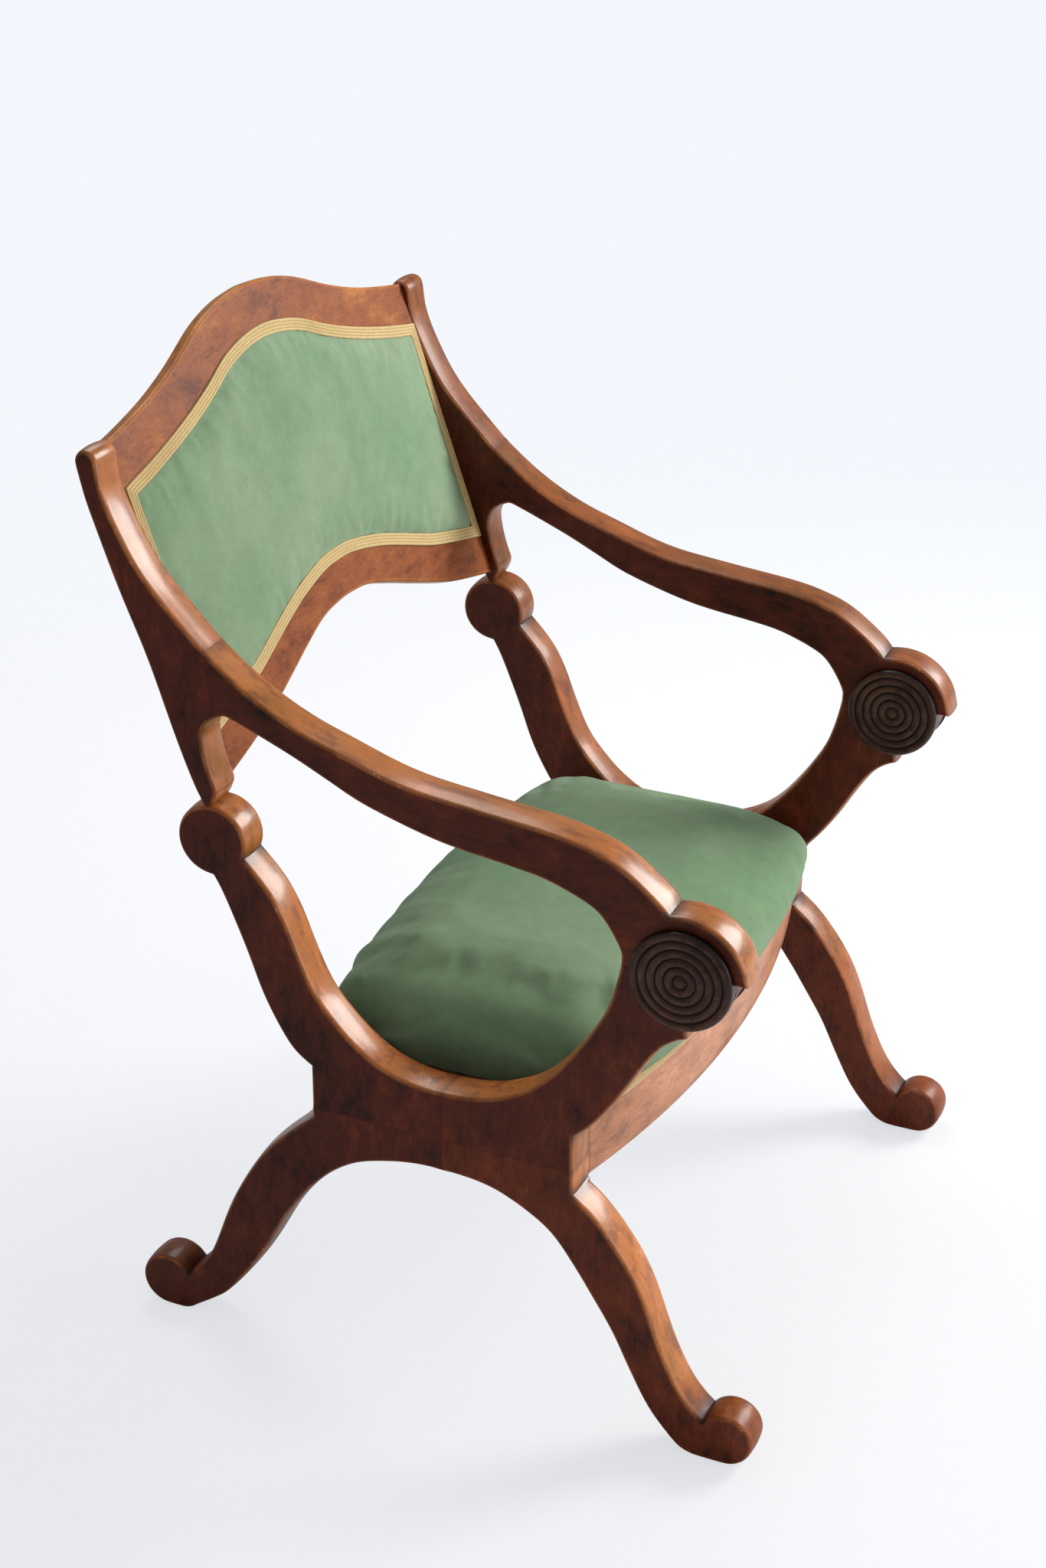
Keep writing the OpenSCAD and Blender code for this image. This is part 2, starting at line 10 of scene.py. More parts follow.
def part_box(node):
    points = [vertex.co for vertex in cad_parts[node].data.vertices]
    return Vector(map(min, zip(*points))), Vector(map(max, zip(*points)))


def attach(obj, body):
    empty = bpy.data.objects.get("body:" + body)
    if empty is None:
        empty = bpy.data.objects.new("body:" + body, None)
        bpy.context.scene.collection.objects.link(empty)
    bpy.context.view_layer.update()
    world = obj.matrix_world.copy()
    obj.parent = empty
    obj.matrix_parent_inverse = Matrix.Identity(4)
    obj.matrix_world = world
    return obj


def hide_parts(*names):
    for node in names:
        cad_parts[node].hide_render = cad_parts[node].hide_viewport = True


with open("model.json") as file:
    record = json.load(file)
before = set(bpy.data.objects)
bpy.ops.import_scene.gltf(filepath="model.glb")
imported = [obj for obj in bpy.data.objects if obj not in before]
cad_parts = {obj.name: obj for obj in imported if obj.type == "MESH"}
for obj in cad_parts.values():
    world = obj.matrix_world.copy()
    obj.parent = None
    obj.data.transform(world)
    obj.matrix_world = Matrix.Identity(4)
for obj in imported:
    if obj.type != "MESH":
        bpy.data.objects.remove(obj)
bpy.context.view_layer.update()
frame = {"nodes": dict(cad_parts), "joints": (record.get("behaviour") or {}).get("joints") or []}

nodes = frame["nodes"]
MM = 0.001

# Places taken from the frame
pivot = Vector(frame["joints"][0]["pos_m"])
inner_x, outer_x = (corner.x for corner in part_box("left_front_leg"))
board_t = outer_x - inner_x
cheek_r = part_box("left_front_upright")[1].z - pivot.z
cheek_t = 10 * MM
slot_gap = 0.4 * MM

# The rounding of an edge: its reach on the flat face, its reach across the edge, and
# how far the middle of the edge stands out
BOARD_EDGE = (2.2 * MM, 5.5 * MM, 0.8 * MM)
BACK_RAIL_EDGE = (2.2 * MM, 3.6 * MM, 0.2 * MM)
SEAT_RAIL_EDGE = (2.0 * MM, 3.0 * MM, 0.0)
# The slope where it leaves the flat face, and the band of flat face beside it
STEEPEST = math.radians(64)
FACE_MARGIN = 1.6 * MM
# How much of the rounding there is where two boards meet
JOINT_SHARE = 0.035
# The sine of the turning up to which two edges of an outline count as one line
NEARLY_STRAIGHT = 0.12
# How far across the board, or along its edges, the rounding may reach at most
REACH_LIMIT = 0.4
# Corners of more degrees than this stay sharp in the shading
BOARD_SHARP = 38
BOSS_SHARP = 50
BRAID_SHARP = 60
# Dark seams, and shade painted into the inward creases: how dark the seams are, how sharply a corner must
# turn inward to get the shade, and how far the shade reaches from it
SEAM_DARK = 0.62
CREASE = math.radians(-28)
CREASE_REACH = 15 * MM
# The feet are less worn: the height where wear begins, and over which it grows
FOOT_TOP = 46 * MM
FOOT_FADE = 26 * MM

SIDES = {"left": 1, "right": -1}
# How much of the worn edges' lighter colour each side has: the right side's is wear, and on the left side it
# is lowered as painted shade
EDGE_WEAR_AND_SHADE = {"left": 0.5, "right": 1.0}
# Where a cut through each board is clear of its dowels and of the fork's slot
CLEAR_LEVEL = {"front_upright": 27 * MM, "rear_upright": 27 * MM, "front_leg": 27 * MM, "rear_leg": 27 * MM,
               "arm": 22.5 * MM, "back_post": 22.5 * MM}
# The boards of one side frame, with those that each of them is glued or fitted to
TOUCHING = {
    "front_upright": ["rear_upright", "front_leg"],
    "rear_upright": ["front_upright", "rear_leg"],
    "front_leg": ["front_upright", "rear_leg"],
    "rear_leg": ["rear_upright", "front_leg"],
    "arm": ["back_post"],
    "back_post": ["arm", "rear_upright"],
}

BOSS_RINGS = 5
BOSS_PARTS = 144
BEAD_POINTS = 9
BEAD_DEPTH = 2.6 * MM

RIBS = 4
BRAID_W = 12 * MM
BRAID_T = 2 * MM

# The dark, middle and light colour of each wood
MAHOGANY = ((0.012, 0.0022, 0.0012), (0.105, 0.016, 0.0062), (0.25, 0.046, 0.0125))
FRONT_LEG_WOOD = ((0.022, 0.0036, 0.0016), (0.16, 0.028, 0.008), (0.33, 0.066, 0.016))
# The back rails' colours are lighter than the boards', partly as a painted sheen
BACK_RAIL_WOOD_AND_SHEEN = ((0.11, 0.024, 0.008), (0.28, 0.078, 0.021), (0.46, 0.165, 0.036))
# The seat rails' colours are lighter and pinker than the boards', partly as a painted pink sheen
SEAT_RAIL_WOOD_AND_SHEEN = ((0.075, 0.02, 0.012), (0.29, 0.09, 0.058), (0.48, 0.185, 0.12))
EBONISED = ((0.014, 0.005, 0.003), (0.045, 0.015, 0.009), (0.1, 0.036, 0.02))
BEECH = ((0.3, 0.17, 0.08), (0.45, 0.28, 0.14), (0.58, 0.4, 0.22))
DOWEL_BEECH = ((0.4, 0.25, 0.12), (0.55, 0.37, 0.2), (0.68, 0.5, 0.3))
# What age has done to the mahogany. The last colour is that of its dark seams and of the shade painted into
# its creases
RUBBED_COLOUR = (0.66, 0.255, 0.038)
PATINA_COLOUR = (0.17, 0.043, 0.01)
WORN_COLOUR = (0.5, 0.17, 0.05)
NICK_COLOUR = (0.66, 0.38, 0.2)
SEAM_AND_SHADE_COLOUR = (0.022, 0.006, 0.004)
# Threads per metre
GREEN_THREADS = 900.0
JUTE_THREADS = 380.0
LINING_THREADS = 1100.0

# Folds of the seat's cloth from (x, y) to (x, y), each with its width in m and height in mm
SEAT_FOLDS = [
    ((-0.238, 0.13), (-0.222, 0.05), 0.009, 3.0), ((-0.205, 0.13), (-0.19, 0.06), 0.01, -2.2),
    ((-0.178, 0.13), (-0.17, 0.03), 0.01, 2.6), ((-0.15, 0.13), (-0.146, 0.06), 0.009, -2.0),
    ((-0.112, 0.13), (-0.122, -0.11), 0.007, 1.3), ((-0.08, 0.13), (-0.06, 0.06), 0.01, 2.0),
    ((-0.036, 0.13), (-0.02, 0.08), 0.01, -1.8), ((0.03, 0.13), (0.03, 0.07), 0.011, 1.8),
    ((0.1, 0.13), (0.09, 0.08), 0.012, -1.6), ((0.16, 0.12), (0.15, 0.06), 0.01, 1.8),
    ((-0.25, -0.04), (-0.2, -0.12), 0.016, 1.2), ((0.02, -0.19), (0.03, -0.1), 0.02, 1.4),
    ((0.14, -0.18), (0.12, -0.11), 0.018, 1.2)]
# Long folds of the back's cloth: (place across in m, width in m, height in mm, lean)
BACK_FOLDS = [(-0.19, 0.014, 1.0, 0.12), (-0.14, 0.018, 1.1, 0.1), (-0.085, 0.014, 0.9, 0.06),
              (-0.02, 0.02, 1.0, 0.0), (0.045, 0.016, 0.8, -0.05), (0.1, 0.018, 1.0, -0.08),
              (0.155, 0.016, 1.0, -0.1)]


# Points and lengths

def part_way(value, start, width):
    """0 at start, 1 at start + width and even between. The width may be negative."""
    return np.clip((value - start) / width, 0, 1)


def sizes_of(vectors):
    return np.linalg.norm(vectors, axis=1)


def runs(loop):
    """The way from each point of a closed loop to the next."""
    return np.roll(loop, -1, axis=0) - loop


def perimeter(loop):
    return float(sizes_of(runs(loop)).sum())


def distance(a, b):
    return np.linalg.norm(a - b)


def get_points(mesh):
    points = np.zeros(len(mesh.vertices) * 3)
    mesh.vertices.foreach_get("co", points)
    return points.reshape(-1, 3)


def set_points(mesh, points):
    mesh.vertices.foreach_set("co", np.ascontiguousarray(points).ravel())


# Objects

def linked(name, data):
    made = bpy.data.objects.new(name, data)
    bpy.context.scene.collection.objects.link(made)
    return made


def smooth_shaded(piece, sharp):
    """Smooth shading, but for the corners of more than that angle in degrees."""
    piece.data.shade_smooth()
    piece.data.set_sharp_from_angle(angle=math.radians(sharp))


def built(made, name, sharp=None):
    """An object of the finished bmesh, smooth shaded if the sharp angle is given."""
    if sharp:
        bmesh.ops.recalc_face_normals(made, faces=made.faces)
    mesh = bpy.data.meshes.new(name)
    made.to_mesh(mesh)
    made.free()
    piece = linked(name, mesh)
    if sharp:
        smooth_shaded(piece, sharp)
    return piece


def float_layers(made, *names):
    return [made.verts.layers.float.new(name) for name in names]


def bridged(made, rows, closed=True):
    """Faces between rows of points that lie side by side: (face, row number, place in the row)."""
    faces = []
    for number, (low, high) in enumerate(zip(rows, rows[1:])):
        for k in range(len(low) if closed else len(low) - 1):
            j = (k + 1) % len(low)
            faces.append((made.faces.new((low[k], low[j], high[j], high[k])), number, k))
    return faces


def coloured(piece, material):
    piece.data.materials.clear()
    piece.data.materials.append(material)


def take_place(piece, look, node, body):
    """Colours the piece and puts it in the CAD node's place."""
    coloured(piece, look)
    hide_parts(node)
    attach(piece, body)


def settle(piece):
    """Replaces the piece's mesh by what its modifiers make of it."""
    bpy.context.view_layer.update()
    seen = piece.evaluated_get(bpy.context.evaluated_depsgraph_get())
    mesh = bpy.data.meshes.new_from_object(seen)
    mesh.name = piece.name
    piece.modifiers.clear()
    piece.data = mesh


def place_camera():
    """The photograph's camera, as it was fitted to the two side frames."""
    azimuth, elevation, roll = (math.radians(a) for a in (23.74, 25.69, 0.47))
    look = Vector((math.cos(elevation) * math.cos(azimuth),
                   math.cos(elevation) * math.sin(azimuth), -math.sin(elevation)))
    level = Vector((math.sin(azimuth), -math.cos(azimuth), 0))
    across = math.cos(roll) * level + math.sin(roll) * level.cross(look)
    data = bpy.data.cameras.new("photo_camera")
    data.sensor_width = 36
    data.lens = 61.6
    camera = linked("photo_camera", data)
    turn = Matrix((across, across.cross(look), -look)).transposed().to_4x4()
    camera.matrix_world = Matrix.Translation((-2.0873, -0.8864, 1.5578)) @ turn
    bpy.context.scene.camera = camera


# Node trees

def put(node, key, value):
    """Links a socket to the node's input, or gives that input a value."""
    socket = node.inputs[key]
    if isinstance(value, bpy.types.NodeSocket):
        node.id_data.links.new(value, socket)
    elif socket.type == "RGBA" and len(value) == 3:
        socket.default_value = (*value, 1)
    else:
        socket.default_value = value


def fill(node, **inputs):
    """Puts each value or socket into the input of that name. An underscore stands for a space."""
    for key, value in inputs.items():
        put(node, key.replace("_", " "), value)


def new_node(tree, kind, inputs=None, **settings):
    made = tree.nodes.new(kind)
    for key, value in settings.items():
        setattr(made, key, value)
    for key, value in (inputs or {}).items():
        put(made, key, value)
    return made


def after(kind, inputs, **settings):
    """A node in the tree of the sockets that are linked to it."""
    tree = next(value.id_data for value in inputs.values() if isinstance(value, bpy.types.NodeSocket))
    return new_node(tree, kind, inputs, **settings)


def maths(operation, *values, clamp=False):
    return after("ShaderNodeMath", dict(enumerate(values)), operation=operation, use_clamp=clamp).outputs[0]


def times(first, second):
    return maths("MULTIPLY", first, second)


def plus(first, second):
    return maths("ADD", first, second)


def line_of(value, slope, base):
    return maths("MULTIPLY_ADD", value, slope, base)


def steps(value, low, high):
    """0 below low, 1 above high and smooth between."""
    return after("ShaderNodeMapRange", {"Value": value, "From Min": low, "From Max": high},
                 interpolation_type="SMOOTHSTEP").outputs["Result"]


def ramp(factor, stops):
    made = after("ShaderNodeValToRGB", {"Fac": factor})
    band = made.color_ramp
    while len(band.elements) < len(stops):
        band.elements.new(0.5)
    for element, (place, colour) in zip(band.elements, stops):
        element.position = place
        element.color = (*colour, 1)
    return made.outputs["Color"]


def mixed(factor, first, second, blend="MIX"):
    return after("ShaderNodeMix", {0: factor, 6: first, 7: second}, data_type="RGBA",
                 blend_type=blend).outputs[2]


def stretched(vector, scale):
    return after("ShaderNodeVectorMath", {0: vector, 1: scale}, operation="MULTIPLY").outputs[0]


def noise_value(vector, scale, detail=3.0, roughness=0.55):
    """Noise about 0.5. A scale of three numbers gives each axis its own."""
    if isinstance(scale, tuple):
        vector = stretched(vector, scale)
        scale = 1.0
    return after("ShaderNodeTexNoise", {"Vector": vector, "Scale": scale, "Detail": detail,
                                        "Roughness": roughness}).outputs["Fac"]


def shader_group(name, inputs, outputs):
    """An empty group whose first input is a vector: (group, its inputs' sockets, its output node)."""
    group = bpy.data.node_groups.new(name, "ShaderNodeTree")
    group.interface.new_socket("Vector", in_out="INPUT", socket_type="NodeSocketVector")
    for label, value in inputs.items():
        kind = "Float" if isinstance(value, float) else "Color"
        socket = group.interface.new_socket(label, in_out="INPUT", socket_type="NodeSocket" + kind)
        socket.default_value = value if kind == "Float" else (*value, 1)
    for label in outputs:
        kind = "Color" if label == "Color" else "Float"
        group.interface.new_socket(label, in_out="OUTPUT", socket_type="NodeSocket" + kind)
    return group, group.nodes.new("NodeGroupInput").outputs, group.nodes.new("NodeGroupOutput")


def wood_figure_group():
    """Streaks, clouding and pores of wood, with the grain along the vector's x."""
    group, given, result = shader_group(
        "wood figure",
        {"Dark": (0.05, 0.012, 0.006), "Middle": (0.15, 0.035, 0.014), "Light": (0.3, 0.08, 0.03),
         "Cloud scale": 9.0, "Streak share": 0.24, "Mottle share": 0.26},
        ["Color", "Pores", "Clouds"])
    vector = given["Vector"]
    wander = after("ShaderNodeTexNoise", {"Vector": vector, "Scale": 4.0, "Detail": 2.0})
    drift = stretched(wander.outputs["Color"], (0.03, 0.03, 0.03))
    bent = after("ShaderNodeVectorMath", {0: vector, 1: drift}, operation="ADD").outputs[0]
    streaks = noise_value(bent, (5, 70, 70), 5.0, 0.6)
    fine = noise_value(bent, (14, 420, 420))
    clouds = noise_value(bent, given["Cloud scale"], 4.0, 0.6)
    mottle = noise_value(bent, (34, 60, 60), 8.0, 0.74)
    blend = times(clouds, 0.36)
    for figure, share in ((streaks, given["Streak share"]), (mottle, given["Mottle share"]), (fine, 0.1)):
        blend = plus(blend, times(figure, share))
    colour = mixed(steps(blend, 0.36, 0.52), given["Dark"], given["Middle"])
    colour = mixed(steps(blend, 0.5, 0.68), colour, given["Light"])
    pores = steps(noise_value(vector, (90, 1500, 1500), 1.0), 0.6, 0.68)
    colour = mixed(times(pores, 0.35), colour, (0.02, 0.006, 0.004))
    specks = steps(noise_value(vector, (170, 420, 420), 2.0), 0.64, 0.7)
    colour = mixed(times(specks, 0.5), colour, (0.03, 0.008, 0.004))
    fill(result, Color=colour, Pores=pores, Clouds=clouds)
    return group


def worn_edge_group():
    """Where the polish has gone from the edges: broken patches, and small pale nicks."""
    group, given, result = shader_group("worn edge", {"Edge": 0.0, "Amount": 0.5, "Scale": 60.0},
                                        ["Mask", "Nicks"])
    vector = given["Vector"]
    broad = times(noise_value(vector, 14.0), 0.5)
    patches = times(noise_value(vector, given["Scale"], 5.0, 0.65), 0.5)
    wanted = times(given["Edge"], steps(plus(broad, patches), 0.42, 0.62))
    nicks = steps(plus(noise_value(vector, 260.0), broad), 0.92, 1.0)
    fill(result, Mask=times(wanted, given["Amount"]), Nicks=times(nicks, given["Edge"]))
    return group


def weave_group():
    """Crossing threads in the vector's x and y, with a slow change of tone."""
    group, given, result = shader_group(
        "weave",
        {"Threads": 900.0, "Twill": 0.5, "Warp colour": (0.2, 0.3, 0.2), "Weft colour": (0.25, 0.36, 0.25),
         "Fade": 0.2},
        ["Color", "Height", "Fading"])
    vector = given["Vector"]
    scaled = after("ShaderNodeVectorMath", {0: vector, "Scale": given["Threads"]}, operation="SCALE")
    x, y, _ = after("ShaderNodeSeparateXYZ", {0: scaled.outputs[0]}).outputs
    warp = maths("SINE", times(x, math.tau))
    weft = maths("SINE", times(y, math.tau))
    slant = maths("SINE", times(plus(x, y), math.pi))
    rows = plus(times(warp, weft), times(slant, given["Twill"]))
    height = line_of(rows, 0.3, 0.5)
    uneven = noise_value(vector, (160, 1500, 160), 2.0)
    tone = plus(times(height, 0.6), times(uneven, 0.4))
    colour = mixed(tone, given["Warp colour"], given["Weft colour"])
    blotches = line_of(noise_value(vector, 60.0, 6.0, 0.72), 0.5, 0.75)
    shade = after("ShaderNodeCombineColor", {0: blotches, 1: blotches, 2: blotches}).outputs[0]
    colour = mixed(1.0, colour, shade, "MULTIPLY")
    fading = steps(noise_value(vector, 5.0, 4.0, 0.6), 0.35, 0.7)
    colour = mixed(times(fading, given["Fade"]), colour, (0.62, 0.64, 0.5))
    fill(result, Color=colour, Height=height, Fading=fading)
    return group


WOOD_FIGURE = wood_figure_group()
WORN_EDGE = worn_edge_group()
WEAVE = weave_group()


def grouped(tree, group, **inputs):
    """The outputs of a group that is placed in the tree with those inputs."""
    placed = new_node(tree, "ShaderNodeGroup", node_tree=group)
    fill(placed, **inputs)
    return placed.outputs


def new_material(name, **uniform):
    """A material with its Principled shader, and the values that are the same all over."""
    material = bpy.data.materials.new(name)
    material.use_nodes = True
    shader = material.node_tree.nodes["Principled BSDF"]
    fill(shader, **uniform)
    return material, material.node_tree, shader


def local_vector(tree, turn=(0, 0, 0), shift=(0, 0, 0)):
    place = new_node(tree, "ShaderNodeTexCoord").outputs["Object"]
    return after("ShaderNodeMapping", {"Vector": place, "Rotation": turn, "Location": shift},
                 vector_type="TEXTURE").outputs[0]


def attribute(tree, name):
    return new_node(tree, "ShaderNodeAttribute", attribute_name=name).outputs["Fac"]


def bumped(shader, height, strength, depth):
    bump = after("ShaderNodeBump", {"Height": height, "Strength": strength, "Distance": depth})
    put(shader, "Normal", bump.outputs["Normal"])


def figured(tree, shader, vector, colours, rough, **shares):
    """The wood figure's outputs in those three colours. Its clouds also vary the roughness."""
    dark, middle, light = colours
    figure = grouped(tree, WOOD_FIGURE, Vector=vector, Dark=dark, Middle=middle, Light=light, **shares)
    put(shader, "Roughness", line_of(figure["Clouds"], 0.3, rough))
    return figure


def polished_wood(name, turn, shift=(0, 0, 0), colours=MAHOGANY, rim_share=0.85, wax=(0.08, 0.95),
                  shine=0.24):
    """Waxed mahogany. Its edges, where hands and cloths have worn it, are lighter. Its seams are dark, and
    shade is painted into its inward creases.

    wax gives the weight of the coat on the faces and how much more the edges have.
    """
    material, tree, shader = new_material(name, Coat_Roughness=0.2, Specular_IOR_Level=shine)
    vector = local_vector(tree, turn, shift)
    figure = figured(tree, shader, vector, colours, 0.28, Streak_share=0.06, Mottle_share=0.48)
    wear = grouped(tree, WORN_EDGE, Vector=vector, Edge=attribute(tree, "arris"), Amount=0.8)
    rim = attribute(tree, "rim")
    warm = mixed(1.0, figure["Color"], (3.5, 4.6, 2.6), "MULTIPLY")
    warm = mixed(0.5, warm, RUBBED_COLOUR)
    patina = steps(noise_value(vector, (16, 75, 75), 4.0, 0.6), 0.48, 0.66)
    warm = mixed(times(patina, 0.6), warm, PATINA_COLOUR)
    colour = mixed(times(rim, rim_share), figure["Color"], warm)
    colour = mixed(wear["Mask"], colour, WORN_COLOUR)
    colour = mixed(times(wear["Nicks"], 0.7), colour, NICK_COLOUR)
    # Dark seams, and painted shade near the inward creases
    seams_and_shade = maths("POWER", attribute(tree, "seams_and_shade"), 1.6)
    colour = mixed(times(seams_and_shade, 0.85), colour, SEAM_AND_SHADE_COLOUR)
    coat = times(figure["Clouds"], line_of(rim, wax[1], wax[0]))
    fill(shader, Base_Color=colour, Coat_Weight=coat)
    bumped(shader, maths("SUBTRACT", 1.0, figure["Pores"]), 0.12, 0.2 * MM)
    return material


def plain_wood(name, colours):
    material, tree, shader = new_material(name)
    figure = figured(tree, shader, local_vector(tree), colours, 0.5)
    put(shader, "Base Color", figure["Color"])
    bumped(shader, maths("SUBTRACT", 1.0, figure["Pores"]), 0.3, 0.3 * MM)
    return material


def boss_wood():
    """Nearly black turned wood, worn brown on the crests of the rings, and with shade painted nearly black
    into the grooves between them.
    """
    material, tree, shader = new_material("ebonised_wood", Coat_Roughness=0.25, Specular_IOR_Level=0.25)
    vector = local_vector(tree)
    figure = figured(tree, shader, vector, EBONISED, 0.27, Cloud_scale=26.0)
    wear = grouped(tree, WORN_EDGE, Vector=vector, Edge=attribute(tree, "arris"), Amount=0.5, Scale=110.0)
    colour = mixed(wear["Mask"], figure["Color"], (0.2, 0.085, 0.045))
    # Painted shade: the grooves between the rings are made nearly black
    colour = mixed(attribute(tree, "groove_shade"), colour, (0.004, 0.003, 0.003))
    fill(shader, Base_Color=colour, Coat_Weight=times(figure["Clouds"], 0.4))
    bumped(shader, figure["Pores"], 0.15, 0.2 * MM)
    return material


def woven(name, threads, warp, weft, fade, turn=(0, 0, 0), twill=0.5, depth=0.4 * MM, painted_shade_colour=None, **uniform):
    """Woven cloth. A colour given for shade is painted as shade where the cloth's vertex attribute asks for
    it.
    """
    material, tree, shader = new_material(name, **uniform)
    weave = grouped(tree, WEAVE, Vector=local_vector(tree, turn), Threads=threads, Twill=twill,
                    Warp_colour=warp, Weft_colour=weft, Fade=fade)
    colour = weave["Color"]
    # Painted shade where the attribute asks for it, a little less where the cloth has faded
    if painted_shade_colour:
        dirt_and_shade = maths("ADD", attribute(tree, "dirt_and_shade"), times(weave["Fading"], -0.25), clamp=True)
        colour = mixed(dirt_and_shade, colour, painted_shade_colour)
    fill(shader, Base_Color=colour, Roughness=line_of(weave["Fading"], -0.15, 0.95))
    bumped(shader, weave["Height"], 0.5, depth)
    return material


def braid():
    """Gold gimp: ribs along its length, wound with yarn that catches the light in turns."""
    material, tree, shader = new_material("gold_gimp", Sheen_Weight=0.25, Sheen_Roughness=0.4)
    along = new_node(tree, "ShaderNodeUVMap", uv_map="braid").outputs[0]
    along = after("ShaderNodeSeparateXYZ", {0: along}).outputs[0]
    turns = maths("SINE", times(along, math.tau * 650))
    vector = local_vector(tree)
    spots = noise_value(vector, 210.0, 5.0, 0.7)
    dirt_and_shade = steps(noise_value(vector, 9.0, 4.0), 0.4, 0.7)
    # Lighter on the crests of the ribs and darker between them and at the edges: painted shade
    tone = plus(times(attribute(tree, "rib"), 0.42), times(spots, 0.62))
    colour = ramp(tone, [(0.1, (0.15, 0.082, 0.022)), (0.45, (0.42, 0.285, 0.09)),
                         (0.85, (0.66, 0.49, 0.21))])
    colour = mixed(times(line_of(turns, 0.5, 0.5), 0.35), colour, (0.8, 0.64, 0.35))
    colour = mixed(times(dirt_and_shade, 0.35), colour, (0.4, 0.25, 0.08))
    fill(shader, Base_Color=colour, Roughness=line_of(spots, 0.5, 0.5))
    bumped(shader, plus(times(turns, 0.3), spots), 0.5, 0.3 * MM)
    return material


def steel():
    material, tree, shader = new_material("turned_steel")
    rings = noise_value(local_vector(tree), (900, 30, 30), 2.0)
    fill(shader, Base_Color=ramp(rings, [(0.3, (0.33, 0.33, 0.34)), (0.7, (0.6, 0.6, 0.61))]),
         Roughness=times(rings, 0.6), Metallic=steps(rings, 0.0, 0.1))
    bumped(shader, rings, 0.2, 0.1 * MM)
    return material


# Outlines read from the frame

def welded(node):
    """A CAD node's points and triangles, with the points that lie together made one."""
    mesh = nodes[node].data
    points, places = np.unique(np.round(get_points(mesh), 6), axis=0, return_inverse=True)
    places = places.ravel()
    faces = [tuple(int(places[i]) for i in p.vertices) for p in mesh.polygons]
    return points, [f for f in faces if len(set(f)) == len(f)]


def chained(edges):
    """Closed loops from directed edges, as lists of point numbers."""
    follow = dict(edges)
    loops = []
    while follow:
        start, step = next(iter(follow.items()))
        loop = [start]
        del follow[start]
        while step != start and step in follow:
            loop.append(step)
            step = follow.pop(step)
        loops.append(loop)
    return loops


def longest_first(loops):
    return sorted(loops, key=lambda loop: -perimeter(loop))


def flat_loops(node, to_local, level):
    """Outlines of the node's flat faces at the local height level, as (u, v) arrays."""
    points, faces = welded(node)
    local = np.array([to_local(p) for p in points])
    edges = set()
    for face in faces:
        if all(abs(local[i][2] - level) < 0.05 * MM for i in face):
            edges.update((face[k], face[(k + 1) % len(face)]) for k in range(len(face)))
    rim = [(a, b) for a, b in edges if (b, a) not in edges]
    return longest_first(local[loop][:, :2] for loop in chained(rim) if len(loop) > 2)


def section_loops(node, x_cut):
    """Outlines of a cut through the node at that x, as (y, z) arrays."""
    points, faces = welded(node)
    cut = bmesh.new()
    corners = [cut.verts.new(p) for p in points]
    for face in faces:
        cut.faces.new([corners[i] for i in face])
    found = bmesh.ops.bisect_plane(cut, geom=cut.verts[:] + cut.edges[:] + cut.faces[:], dist=1e-7,
                                   plane_co=(x_cut, 0, 0), plane_no=(1, 0, 0))
    near = {}
    for line in found["geom_cut"]:
        if isinstance(line, bmesh.types.BMEdge):
            a, b = line.verts
            near.setdefault(a, []).append(b)
            near.setdefault(b, []).append(a)
    loops = []
    while near:
        loop, step = [], next(iter(near))
        while step in near:
            loop.append(step)
            onward = [v for v in near.pop(step) if v in near]
            if not onward:
                break
            step = onward[0]
        loops.append(np.array([(v.co.y, v.co.z) for v in loop]))
    cut.free()
    return longest_first(loops)


def turned_left(loop):
    """The loop in the order that keeps its inside on the left."""
    x, y = loop[:, 0], loop[:, 1]
    area = float(np.dot(x, np.roll(y, -1)) - np.dot(y, np.roll(x, -1)))
    return loop if area > 0 else loop[::-1]


def corner_angles(loop):
    """Turning at each point of a loop: positive where the outline bulges out."""
    out = runs(loop)
    into = np.roll(out, 1, axis=0)
    return np.arctan2(into[:, 0] * out[:, 1] - into[:, 1] * out[:, 0], (into * out).sum(1))


def tidied(loop, step):
    """The loop without its points closer than a tenth of a step."""
    keep = [loop[0]]
    for p in loop[1:]:
        if distance(p, keep[-1]) > step * 0.1:
            keep.append(p)
    if distance(keep[0], keep[-1]) < step * 0.1:
        keep.pop()
    return np.array(keep)


def redrawn(part, step):
    """A smooth curve through the points of an open line, with a point about every step."""
    ends = np.vstack([2 * part[0] - part[1], part, 2 * part[-1] - part[-2]])
    last = len(ends) - 3
    drawn = []
    for k in range(1, last + 1):
        a, b, c, d = ends[k - 1:k + 3]
        length = distance(b, c)
        start = c - b if k == 1 else c - a
        end = c - b if k == last else d - b
        start, end = (v * length / max(np.linalg.norm(v), 1e-9) for v in (start, end))
        pieces = max(1, int(round(length / step)))
        for t in np.arange(pieces) / pieces:
            drawn.append((2 * t ** 3 - 3 * t ** 2 + 1) * b + (t ** 3 - 2 * t ** 2 + t) * start
                         + (3 * t ** 2 - 2 * t ** 3) * c + (t ** 3 - t ** 2) * end)
    drawn.append(part[-1])
    return np.array(drawn)


